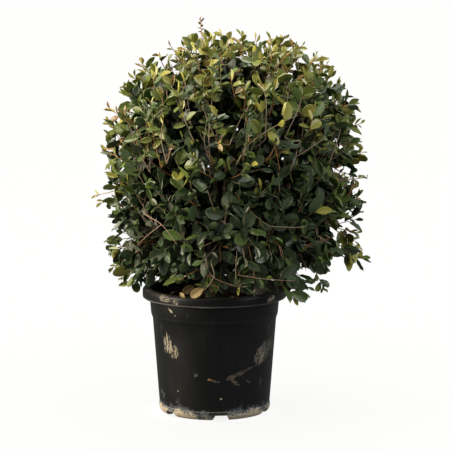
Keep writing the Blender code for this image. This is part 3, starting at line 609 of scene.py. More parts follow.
def polypropylene(name, marks):
    """Black moulded polypropylene: fine-grained satin black under dust, dried mud, scuffs and painted
    highlights.
    """
    made, tree, shader, place = new_material(name, MOULDED_BLACK, 0.42, ior=1.49)
    feed(tree, shader, {"Specular IOR Level": 0.3})
    axes = node(tree, "SeparateXYZ", (place,)).outputs
    height = axes["Z"]
    forward = node(tree, "Math", (axes["Y"], -1.0), operation="MULTIPLY")
    turn = node(tree, "Math", (axes["X"], forward), operation="ARCTAN2")
    along = node(tree, "Math", (turn, WALL_RADIUS), operation="MULTIPLY")
    wall = node(tree, "CombineXYZ", (along, height, 0.0))

    # Dust: a thin grey film in cloudy patches, washed down in streaks. In the same grey, highlights are
    # painted along the rim's crest, the lip's foot, the collar's ledge and the top of the foot band, broken
    # up by the patches.
    clouds = node(tree, "TexNoise", {"Vector": place, "Scale": 1 / 0.05, "Detail": 5.0})
    run = node(tree, "Mapping", {"Vector": place, "Scale": (1.0, 1.0, 0.06)})
    streaks = node(tree, "TexNoise", {"Vector": run, "Scale": 1 / 0.006, "Detail": 3.0})
    film = node(tree, "Math", (clouds, streaks), operation="MULTIPLY")
    thin = node(tree, "MapRange", (film, 0.20, 0.45, 0.0, 0.028))
    soft = {"interpolation_type": "SMOOTHSTEP"}
    # Painted highlights along the pot's edges, where they catch the light.
    painted_edge_highlights = node(tree, "MapRange", (height, 0.2915, 0.2968, 0.0, 0.45), **soft)
    for start, end, lowest, strength in (
        (0.2785, 0.2755, LIP_FOOT - 0.003, 1.6),
        (COLLAR_FOOT + 0.006, COLLAR_FOOT + 0.001, COLLAR_FOOT, 0.09),
    ):
        fading = node(tree, "MapRange", (height, start, end, 0.0, strength), **soft)
        over = node(tree, "Math", (height, lowest), operation="GREATER_THAN")
        edge = node(tree, "Math", (fading, over), operation="MULTIPLY")
        painted_edge_highlights = node(tree, "Math", (painted_edge_highlights, edge), operation="MAXIMUM")
    above_band = node(tree, "Math", (height, FOOT_BAND + 0.0006), operation="SUBTRACT")
    from_band = node(tree, "Math", (above_band,), operation="ABSOLUTE")
    edge = node(tree, "MapRange", (from_band, 0.0022, 0.0004, 0.0, 1.1), **soft)
    painted_edge_highlights = node(tree, "Math", (painted_edge_highlights, edge), operation="MAXIMUM")
    # The painted edge highlights, broken up by the cloudy patches, are added to the dust film.
    thick = node(tree, "Math", (painted_edge_highlights, clouds), operation="MULTIPLY")
    dust_and_edge_highlights = node(tree, "Math", (thin, thick), operation="ADD", use_clamp=True)
    tones = {"A": colour(MOULDED_BLACK), "B": colour("#63635f")}
    look = node(tree, "Mix", {"Factor": dust_and_edge_highlights, **tones}, data_type="RGBA")

    # Splashes: dried mud caked round the foot in patches, with pits where it has flaked off, and hardly
    # any round the notch in front, where the rain runs off. A bluish tide line is left above it.
    patches = node(
        tree, "TexNoise", {"Vector": place, "Scale": 1 / 0.030, "Detail": 3.0, "Roughness": 0.6}
    )
    pits = node(
        tree, "TexNoise", {"Vector": place, "Scale": 1 / 0.0045, "Detail": 4.0, "Roughness": 0.65}
    )
    level = node(tree, "MapRange", (height, 0.0, 0.044, 0.30, -0.42))
    cake = node(tree, "Math", (patches, level), operation="ADD")
    past_front = node(tree, "Math", (turn, 0.05), operation="ADD")
    off_front = node(tree, "Math", (past_front,), operation="ABSOLUTE")
    rinsed = node(tree, "MapRange", (off_front, 0.36, 0.16, 0.0, -0.20), **soft)
    cake = node(tree, "Math", (cake, rinsed), operation="ADD")
    cake = node(tree, "Math", (pits, 0.55, cake), operation="MULTIPLY_ADD")
    coat = node(tree, "MapRange", (cake, 0.77, 0.84))
    shades = node(tree, "MapRange", (pits, 0.35, 0.65))
    tones = {"A": colour("#7a6e5d"), "B": colour("#b6ac98")}
    mud = node(tree, "Mix", {"Factor": shades, **tones}, data_type="RGBA")
    tide = node(tree, "MapRange", (cake, 0.58, 0.74, 0.0, 0.45))
    look = node(tree, "Mix", {"Factor": tide, "A": look, "B": colour("#7b8085")}, data_type="RGBA")
    look = node(tree, "Mix", {"Factor": coat, "A": look, "B": mud}, data_type="RGBA")
    covered = coat

    for turned, middle, half_width, half_height, tilt, wide, long, share, thickness, tone in marks:
        spot = (math.radians(turned) * WALL_RADIUS, middle, 0.0)
        laid = {"Vector": wall, "Location": spot, "Rotation": (0.0, 0.0, math.radians(tilt))}
        size, stroke = (half_width, half_height, 1), (wide, long, 1)
        inside = node(tree, "Mapping", {**laid, "Scale": size}, vector_type="TEXTURE")
        away = node(tree, "VectorMath", (inside,), operation="LENGTH")
        edge = node(tree, "MapRange", (away, 0.45, 1.0, share, 0.0))
        grain = node(tree, "Mapping", {**laid, "Scale": stroke}, vector_type="TEXTURE")
        strokes = node(tree, "TexNoise", {"Vector": grain, "Scale": 1.0, "Detail": 3.0, "Distortion": 0.8})
        bare = node(tree, "Math", (1.0, edge), operation="SUBTRACT")
        over = node(tree, "Math", (strokes, bare), operation="SUBTRACT")
        mark = node(tree, "MapRange", (over, 0.0, 0.08 / thickness, 0.0, thickness))
        look = node(tree, "Mix", {"Factor": mark, "A": look, "B": colour(tone)}, data_type="RGBA")
        covered = node(tree, "Math", (covered, mark), operation="MAXIMUM")

    dull = node(tree, "Math", (covered, dust_and_edge_highlights), operation="MAXIMUM")
    gloss = node(tree, "MapRange", (dull, 0.0, 0.8, 0.40, 0.90))
    grain = node(tree, "TexNoise", {"Vector": place, "Scale": 1 / 0.0011, "Detail": 1.0})
    fine = node(tree, "Bump", {"Height": grain, "Strength": 0.25, "Distance": 0.0003})
    crust = node(tree, "Bump", {"Height": covered, "Strength": 0.5, "Distance": 0.0008, "Normal": fine})
    feed(tree, shader, {"Base Color": look, "Roughness": gloss, "Normal": crust})
    return made


# ---- Modelling by hand ----


def start_piece(add, name, **settings):
    """Adds a primitive on its own and opens it for editing, with none of it selected."""
    if bpy.context.object and bpy.context.object.mode != "OBJECT":
        bpy.ops.object.mode_set(mode="OBJECT")
    bpy.ops.object.select_all(action="DESELECT")
    add(**settings)
    piece = bpy.context.object
    piece.name = name
    bpy.ops.object.mode_set(mode="EDIT")
    bpy.ops.mesh.select_all(action="DESELECT")
    return piece


def pick(test, kind="VERT"):
    """Selects only those points or edges whose middle passes the test."""
    mesh = bpy.context.object.data
    shape = bmesh.from_edit_mesh(mesh)
    bpy.ops.mesh.select_mode(type=kind)
    bpy.ops.mesh.select_all(action="DESELECT")
    edges = kind == "EDGE"
    for part in shape.edges if edges else shape.verts:
        middle = (part.verts[0].co + part.verts[1].co) / 2 if edges else part.co
        if test(middle):
            part.select_set(True)
    shape.select_flush_mode()
    bmesh.update_edit_mesh(mesh)


def finish_piece(piece, sharp_angle=SHARP_EDGE):
    """Merges doubles, turns the faces outwards and leaves edit mode, shaded smooth but for sharp edges."""
    bpy.ops.mesh.select_mode(type="VERT")
    bpy.ops.mesh.select_all(action="SELECT")
    bpy.ops.mesh.remove_doubles(threshold=0.00001)
    bpy.ops.mesh.normals_make_consistent(inside=False)
    bpy.ops.object.mode_set(mode="OBJECT")
    bpy.ops.object.shade_smooth_by_angle(angle=sharp_angle)
    return piece


def alone(piece):
    bpy.ops.object.select_all(action="DESELECT")
    piece.select_set(True)
    bpy.context.view_layer.objects.active = piece


def apply_modifiers(piece):
    alone(piece)
    for modifier in list(piece.modifiers):
        bpy.ops.object.modifier_apply(modifier=modifier.name)


def new_object(name, data):
    made = bpy.data.objects.new(name, data)
    bpy.context.scene.collection.objects.link(made)
    return made


def dress(piece, materials):
    piece.data.materials.clear()
    for material in materials:
        piece.data.materials.append(material)


def keep(piece, slot, *nodes):
    """Attaches the piece to the plant and hides the nodes that it stands for. The slot is not used."""
    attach(piece, "root")
    if nodes:
        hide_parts(*nodes)


# ---- Leaves, modelled once each ----

ROW_SHARES = (0.0, 0.09, 0.22, 0.40, 0.60, 0.79, 0.93, 1.0)  # from a leaf's root to its tip
STALK_WIDTH = 0.045  # of a leaf's own width
RIB_WIDTH = 0.055
MARGIN_WIDTH = 0.10
RIB_DEPTH = 0.003  # how far the rib is sunk
BELLY_DEPTH = 0.012  # how far the middle of the underside hangs
BLADE_THICKNESS = 0.00045
FEW_ROWS = (0, 2, 4, 6, 7)  # the rows that a leaf with few faces keeps
FAR = 10  # where finished lines of points are moved, so that they aren't picked again
NEAR = 0.01  # how close to a line its own points are


# How one kind of leaf is cut and bent, in shares of its length: its width, and its outline as the width
# at each row between stalk and tip in shares of that; how far the blade rises from the rib (fold), the
# margin then falls (roll) and the tip falls (droop); how far the tip turns against the root (twist), the
# margin waves up and down (ruffle), and one side is shrunken where it has dried (bitten).
LeafForm = namedtuple(
    "LeafForm", "name width outline fold roll droop twist ruffle bitten", defaults=(0.0, 0.0, 0.0)
)
LEAF_FORMS = (
    LeafForm("oval", 0.58, (0.63, 0.96, 1.0, 0.84, 0.49), 0.070, 0.040, 0.06, 0.0, 0.014),
    LeafForm("oval_rolled", 0.60, (0.60, 0.94, 1.0, 0.86, 0.50), 0.090, 0.130, 0.18, 0.18, 0.016),
    LeafForm("obovate", 0.55, (0.44, 0.80, 0.99, 0.95, 0.60), 0.100, 0.060, 0.13, -0.25, 0.018),
    LeafForm("elliptic", 0.47, (0.52, 0.91, 1.0, 0.75, 0.36), 0.115, 0.030, 0.08, 0.10, 0.012),
    LeafForm("elliptic_bent", 0.44, (0.52, 0.92, 0.98, 0.68, 0.29), 0.090, 0.050, 0.28, 0.35, 0.016),
    LeafForm("young", 0.36, (0.48, 0.86, 1.0, 0.74, 0.34), 0.130, -0.010, -0.08),
    LeafForm("dried_side", 0.56, (0.58, 0.94, 1.0, 0.88, 0.60), 0.080, 0.090, 0.10, 0.0, 0.020, 0.09),
)
OVAL, OVAL_ROLLED, OBOVATE, ELLIPTIC, ELLIPTIC_BENT, YOUNG_FORM, DRIED_SIDE, INNER_FORM = range(8)
# The share of each grown form at the crown's foot, and at its top.
FORM_SHARES = (
    (OVAL, 0.30, 0.16),
    (OVAL_ROLLED, 0.24, 0.12),
    (OBOVATE, 0.30, 0.14),
    (ELLIPTIC, 0.10, 0.36),
    (ELLIPTIC_BENT, 0.06, 0.22),
)


def shape_columns(places):
    """Moves each lengthwise line of points of an open grid to its new side and height."""
    count = len(places)
    for number, (side, rise) in enumerate(places):
        start = number / (count - 1) - 0.5
        pick(lambda point: abs(point.y - start) < NEAR)
        bpy.ops.transform.translate(value=(0, side + FAR - start, rise))
    bpy.ops.mesh.select_all(action="SELECT")
    bpy.ops.transform.translate(value=(0, -FAR, 0))


def shape_rows(form, rows):
    """Gives each cross row of points its width, its place along the leaf, its droop and its twist."""
    count = len(rows)
    for number, (share, width) in enumerate(rows):
        start = number / (count - 1) - 0.5
        pick(lambda point: abs(point.x - start) < NEAR)
        bpy.ops.transform.resize(value=(1, width, width), center_override=(start, 0, 0))
        fall = -form.droop * share**2
        bpy.ops.transform.translate(value=(share + FAR - start, 0, fall))
        bpy.ops.transform.rotate(
            value=form.twist * share, orient_axis="X", center_override=(share + FAR, 0, fall)
        )
    bpy.ops.mesh.select_all(action="SELECT")
    bpy.ops.transform.translate(value=(-FAR, 0, 0))
    if form.ruffle:
        for number, (share, width) in enumerate(rows[2:-1]):
            for side in (-1, 1):
                out = 0.8 * width * form.width / 2
                pick(lambda point: abs(point.x - share) < NEAR and point.y * side > out)
                bpy.ops.transform.translate(value=(0, 0, form.ruffle * (-1) ** number * side))
    if form.bitten:
        for deep, (share, width) in zip((0.6, 1.0, 0.8), rows[3:6]):
            out = 0.5 * width * form.width / 2
            pick(lambda point: abs(point.x - share) < NEAR and point.y > out)
            bpy.ops.transform.translate(value=(0, -deep * form.bitten, 0.3 * form.bitten))


def leaf_face(form, rows, columns, name):
    """One face of the leaf, as a grid shaped column by column and row by row."""
    piece = start_piece(
        bpy.ops.mesh.primitive_grid_add,
        name,
        x_subdivisions=len(rows) - 1,
        y_subdivisions=len(columns) - 1,
        size=1,
    )
    shape_columns(columns)
    shape_rows(form, rows)
    bpy.ops.object.mode_set(mode="OBJECT")
    return piece


def model_leaf(form, few_faces=False):
    """A closed leaf one unit long, its root at the origin and its tip on +X, with its faces' roles."""
    widths = (STALK_WIDTH, *form.outline, 0.0)
    rows = [(0.0, 0.0), *zip(ROW_SHARES[1:], widths)]
    half = form.width / 2
    rib = half * RIB_WIDTH
    inner = half * (1 - MARGIN_WIDTH)
    top = [
        (-half, form.fold - form.roll),
        (-inner, form.fold),
        (-rib, -RIB_DEPTH),
        (rib, -RIB_DEPTH),
        (inner, form.fold),
        (half, form.fold - form.roll),
    ]
    if few_faces:
        rows = [rows[number] for number in FEW_ROWS]
        top = [top[0], (0.0, 0.0), top[-1]]
    under = [top[0], (0.0, -BLADE_THICKNESS / LEAF_LENGTH - BELLY_DEPTH), top[-1]]
    upper = leaf_face(form, rows, top, form.name)
    lower = leaf_face(form, rows, under, form.name + "_underside")
    columns = len(top) - 1
    for number, face in enumerate(upper.data.polygons):
        strip = number % columns
        # Midrib and margins take the rib tint: the midrib's own paler colour, the margins' a painted
        # highlight.
        pale = columns > 2 and strip in (0, columns // 2, columns - 1)
        if form.bitten:
            pale = (strip > columns // 2 and face.center.x > 0.4) or face.center.x > 0.8
        face.material_index = RIB if pale or face.center.x < ROW_SHARES[1] else BLADE
    for face in lower.data.polygons:
        face.material_index = UNDERSIDE
    bpy.ops.object.select_all(action="DESELECT")
    lower.select_set(True)
    upper.select_set(True)
    bpy.context.view_layer.objects.active = upper
    bpy.ops.object.join()
    bpy.ops.object.mode_set(mode="EDIT")
    return finish_piece(upper, SHARP_LEAF_EDGE)


def shape_of(piece):
    """A modelled piece as arrays, to be copied many times. The piece itself is removed."""
    mesh = piece.data
    points = np.empty(len(mesh.vertices) * 3)
    mesh.vertices.foreach_get("co", points)
    shape = [points.reshape(-1, 3)]
    for parts, name in (
        (mesh.loops, "vertex_index"),
        (mesh.polygons, "loop_total"),
        (mesh.polygons, "material_index"),
    ):
        shape.append(np.empty(len(parts), np.int32))
        parts.foreach_get(name, shape[-1])
    bpy.data.objects.remove(piece)
    return shape


class Heap:
    """Many small closed shapes, gathered to become one mesh."""

    def __init__(self):
        self.points, self.corners, self.counts, self.slots = [], [], [], []
        self.size = 0

    def add(self, points, corners, counts, slots):
        self.points.append(points)
        self.corners.append(corners + self.size)
        self.counts.append(counts)
        self.slots.append(slots)
        self.size += len(points)

    def add_copies(self, shape, axes, roots, first_slots):
        """One copy for each root: axes holds its scaled axes as columns."""
        points, corners, counts, roles = shape
        copies = len(roots)
        placed = np.einsum("nij,pj->npi", axes, points) + roots[:, None, :]
        offsets = np.arange(copies, dtype=np.int32) * len(points)
        self.add(
            placed.reshape(-1, 3),
            (corners[None, :] + offsets[:, None]).ravel(),
            np.tile(counts, copies),
            (roles[None, :] + first_slots[:, None]).ravel(),
        )

    def piece(self, name, materials, sharp_angle):
        points = np.concatenate(self.points)
        corners = np.concatenate(self.corners)
        counts = np.concatenate(self.counts)
        mesh = bpy.data.meshes.new(name)
        mesh.vertices.add(len(points))
        mesh.vertices.foreach_set("co", points.ravel())
        mesh.loops.add(len(corners))
        mesh.loops.foreach_set("vertex_index", corners)
        mesh.polygons.add(len(counts))
        mesh.polygons.foreach_set("loop_start", np.cumsum(counts) - counts)
        for material in materials:
            mesh.materials.append(material)
        mesh.polygons.foreach_set("material_index", np.concatenate(self.slots))
        mesh.update(calc_edges=True)
        mesh.validate()
        mesh.shade_smooth()
        mesh.set_sharp_from_angle(angle=sharp_angle)
        return new_object(name, mesh)


# ---- Crown space, as in the part's source ----


def crown_level(point):
    """0 at the middle of the crown, 1 on its clipped outline, and in proportion between."""
    x, y, z = point - CROWN_MIDDLE
    fullness = TOP_FULLNESS if z > 0 else UNDERSIDE_FULLNESS
    height = CROWN_RISE if z > 0 else CROWN_DROP
    across = (math.hypot(x, y) / CROWN_RADIUS) ** fullness
    return (across + abs(z / height) ** fullness) ** (1 / fullness)


def crown_point(direction, level):
    """The point in that direction from the crown's middle, at that level."""
    return CROWN_MIDDLE + direction * (level / crown_level(CROWN_MIDDLE + direction))


def pointing(turn, tilt):
    """A unit vector: turn is round Z from +X, and tilt is above the horizontal."""
    flat = math.cos(tilt)
    return Vector((flat * math.cos(turn), flat * math.sin(turn), math.sin(tilt)))


def bearing(turn, tilt):
    """The same, in degrees."""
    return pointing(math.radians(turn), math.radians(tilt))


def rise_share(point):
    """How high the point is in the crown: 0 at its foot and 1 at its top."""
    return (point.z - CROWN_MIDDLE.z + CROWN_DROP) / (CROWN_RISE + CROWN_DROP)


def drop_share(point):
    """How low the point is in the crown's lower half: 0 at the crown's middle and 1 at its foot."""
    return max(0.0, min(1.0, (CROWN_MIDDLE.z - point.z) / CROWN_DROP))


def even_directions(count):
    """Unit vectors spread evenly over a sphere, along a spiral from top to bottom."""
    golden = math.pi * (3 - math.sqrt(5))
    return [
        pointing(number * golden, math.asin(1 - 2 * (number + 0.5) / count))
        for number in range(count)
    ]


def clear_of_pot(point):
    """True above the pot, and beside or behind it down to just under its rim."""
    turn = math.degrees(math.atan2(point.y, point.x))
    lift = max((rise for start, end, rise in OPEN_RIM if start < turn < end), default=POT_CLEARANCE)
    before_pot = point.y < 0 and abs(point.x) < RIM_RADIUS
    if before_pot:
        lift += max(0.0, -point.y - RIM_RADIUS) * SIGHT_LINE.z
    outside = math.hypot(point.x, point.y) > RIM_RADIUS + POT_CLEARANCE
    above = point.z > POT_HEIGHT + lift
    return above or (outside and not before_pot and point.z > SKIRT_FOOT)


class Mass:
    """One mass of foliage: its name, its direction from the crown's middle and where its bough enters."""

    def __init__(self, name, turn, tilt, entry, bough_foot=None):
        reach, rise = entry
        self.name = name
        self.facing = pointing(turn, tilt)
        self.entry = CROWN_MIDDLE + pointing(turn, 0) * reach + Vector((0, 0, rise))
        self.bough_foot = bough_foot
        self.walls = []

    def meet(self, others):
        """Sets the planes that part this mass's space from the others', as outward normals."""
        self.walls = [(other.facing - self.facing).normalized() for other in others]

    def holds(self, point):
        """True if the point is in this mass's share of the crown."""
        offset = point - CROWN_MIDDLE
        return all(offset.dot(wall) <= -MASS_GAP / 2 for wall in self.walls)


def plan_masses():
    masses = [Mass("foliage_top", 0.0, math.radians(90), TOP_ENTRY)]
    for name, offset, tilt, entry, lowest in (
        ("upper", 0.0, UPPER_TILT, UPPER_ENTRY, LOWEST_UPPER_BOUGH),
        ("lower", 0.5, LOWER_TILT, LOWER_ENTRY, LOWEST_BOUGH),
    ):
        for number in range(RING_COUNT):
            turn = RING_TURN + (number + offset) * math.tau / RING_COUNT
            foot = lowest + BOUGH_STEP * (2 * number % RING_COUNT)
            masses.append(Mass(f"foliage_{name}_{number + 1}", turn, tilt, entry, foot))
    for mass in masses:
        mass.meet([other for other in masses if other is not mass])
    return masses


# ---- Trunk and boughs ----


def trunk_path(top):
    """Points up the trunk's middle, closer together at the flare, and the radius at each."""
    foot = Vector((0, 0, COMPOST_TOP + GAP))
    points, radii = [], []
    for number in range(TRUNK_POINTS):
        share = (number / (TRUNK_POINTS - 1)) ** 2
        point = foot.lerp(top, share)
        point.y += TRUNK_SWAY * math.sin(math.tau * share)
        flare = TRUNK_FLARE * math.exp(-(point.z - foot.z) / TRUNK_FLARE_HEIGHT)
        points.append(point)
        radii.append(TRUNK_RADIUS + (TRUNK_TIP_RADIUS - TRUNK_RADIUS) * share**0.7 + flare)
    points[1].xy = points[0].xy
    return points, radii


def along_path(points, height):
    """The point at that height on a path that only rises."""
    for low, high in zip(points, points[1:]):
        if height <= high.z:
            return low.lerp(high, (height - low.z) / (high.z - low.z))
    return points[-1]


def bough_path(mass, trunk):
    """Points from the trunk's middle to the mass's entry: steeply up at first, then outwards."""
    start = along_path(trunk, mass.bough_foot)
    bend = start.lerp(mass.entry, BOUGH_BEND_OUT)
    bend.z = start.z + BOUGH_BEND_UP * (mass.entry.z - start.z)
    points = []
    for number in range(BOUGH_POINTS):
        share = number / (BOUGH_POINTS - 1)
        points.append(start.lerp(bend, share).lerp(bend.lerp(mass.entry, share), share))
    return points


def bark_limb(node_name, points, radii, texture, grain, bark):
    """A smooth tube through the points, with ridges of bark raised on it, in place of that node."""
    name = node_name + "_bark"
    line = bpy.data.curves.new(name, "CURVE")
    line.dimensions = "3D"
    line.bevel_depth = 1.0
    line.bevel_resolution = 8
    line.resolution_u = LIMB_STEPS
    line.use_fill_caps = True
    spline = line.splines.new("BEZIER")
    spline.bezier_points.add(len(points) - 1)
    for knot, point, radius in zip(spline.bezier_points, points, radii):
        knot.co = point
        knot.radius = radius
        knot.handle_left_type = knot.handle_right_type = "AUTO"
    alone(new_object(name, line))
    bpy.ops.object.convert(target="MESH")
    limb = bpy.context.object
    relief = limb.modifiers.new("relief", "DISPLACE")
    relief.texture = texture
    relief.texture_coords = "OBJECT"
    relief.texture_coords_object = grain
    relief.mid_level = 0.5
    relief.strength = BARK_RELIEF
    bpy.ops.object.mode_set(mode="EDIT")
    finish_piece(limb)
    apply_modifiers(limb)
    dress(limb, [bark])
    keep(limb, "bark", node_name)


def build_limbs(masses):
    """The trunk and ten boughs, and each mass's direction of growth where its bough ends."""
    texture = bpy.data.textures.new("bark_ridges", "CLOUDS")
    texture.noise_scale = 1.0
    texture.noise_depth = 2
    grain = new_object("bark_grain", None)
    grain.scale = (BARK_PLATE, BARK_PLATE, 5 * BARK_PLATE)
    bark = old_bark()
    trunk, radii = trunk_path(masses[0].entry)
    masses[0].heading = (trunk[-1] - trunk[-2]).normalized()
    radii[0] -= TRUNK_FOOT_TRIM
    bark_limb("trunk", trunk, radii, texture, grain, bark)
    shares = [number / (BOUGH_POINTS - 1) for number in range(BOUGH_POINTS)]
    taper = [BOUGH_RADIUS + (BOUGH_TIP_RADIUS - BOUGH_RADIUS) * share for share in shares]
    taper[0] += BOUGH_COLLAR
    for mass in masses[1:]:
        points = bough_path(mass, trunk)
        mass.heading = (points[-1] - points[-2]).normalized()
        bark_limb(mass.name.replace("foliage", "bough"), points, taper, texture, grain, bark)
    bpy.data.objects.remove(grain)


# ---- Twigs and leaves ----


def bent_path(start, end, sag, count):
    """Points of a smooth bend from start to end, its middle moved by sag."""
    middle = start.lerp(end, 0.5) + sag
    shares = [number / (count - 1) for number in range(count)]
    return [start.lerp(middle, share).lerp(middle.lerp(end, share), share) for share in shares]


def on_path(points, share):
    """The point at that share of an evenly spaced path, and its direction there."""
    at = min(share, 0.999) * (len(points) - 1)
    number = int(at)
    low, high = points[number], points[number + 1]
    return low.lerp(high, at - number), (high - low).normalized()


def nearest(point, places):
    return min(places, key=lambda place: (place - point).length_squared)


def crown_place(turn, tilt, level):
    """The point at that turn and tilt, in degrees, and that share of the way out of the crown."""
    return crown_point(bearing(turn, tilt), level)


def smooth_path(points, steps):
    """More points on a smooth line through the given ones."""
    line = []
    ends = [points[0] * 2 - points[1], *points, points[-1] * 2 - points[-2]]
    for before, here, there, after in zip(ends, ends[1:], ends[2:], ends[3:]):
        for step in range(steps):
            t = step / steps
            line.append(
                (
                    here * 2
                    + (there - before) * t
                    + (before * 2 - here * 5 + there * 4 - after) * t**2
                    + (here * 3 - before - there * 3 + after) * t**3
                )
                / 2
            )
    return [*line, points[-1]]


def recess(direction):
    """How far the crown's surface stands back there, as a share of the way to its middle."""
    depth = 0.0
    for turn, tilt, wide, deep in HOLLOWS:
        away = direction.angle(bearing(turn, tilt))
        depth = max(depth, deep * (1 - (away / math.radians(wide)) ** 2))
    return depth


class Curtain:
    """The room in front of the bare part of a twig, which leaves keep out of."""

    def __init__(self, start, end):
        self.start, self.end = start, end

    def covers(self, point):
        run = self.end - self.start
        flat_run = run - SIGHT_LINE * run.dot(SIGHT_LINE)
        offset = point - self.start
        flat = offset - SIGHT_LINE * offset.dot(SIGHT_LINE)
        share = max(0.0, min(1.0, flat.dot(flat_run) / flat_run.length_squared))
        ahead = (point - self.start.lerp(self.end, share)).dot(SIGHT_LINE)
        return (flat - flat_run * share).length < SHOWING_ROOM and ahead > SHOWING_FRONT


class Opening:
    """A straight way through the crown's edge that leaves keep out of, so that the sky shows."""

    def __init__(self, place, radius):
        self.place, self.radius = place, radius
        self.sight = (VIEWER - place).normalized()

    def covers(self, point):
        offset = point - self.place
        return (offset - self.sight * offset.dot(self.sight)).length < self.radius


def plan_showing_twigs():
    """Each showing twig as its path, whether an earlier one carries it, its radius, bare share and bark.

    With them come the curtains that keep leaves away from their bare parts.
    """
    twigs, curtains, earlier = [], [], []
    for places, radius, bare, bark in SHOWING_TWIGS:
        path = smooth_path([crown_place(*place) for place in places], 4)
        carried = any((point - path[0]).length < SHOWING_JOIN for point in earlier)
        earlier += path
        twigs.append((path, carried, radius, bare, ("young", "old", "dead").index(bark)))
        if path[0].y < CROWN_MIDDLE.y:
            spots = [on_path(path, bare * share)[0] for share in (0, 0.33, 0.67, 1)]
            curtains += [Curtain(low, high) for low, high in zip(spots, spots[1:])]
    return twigs, curtains


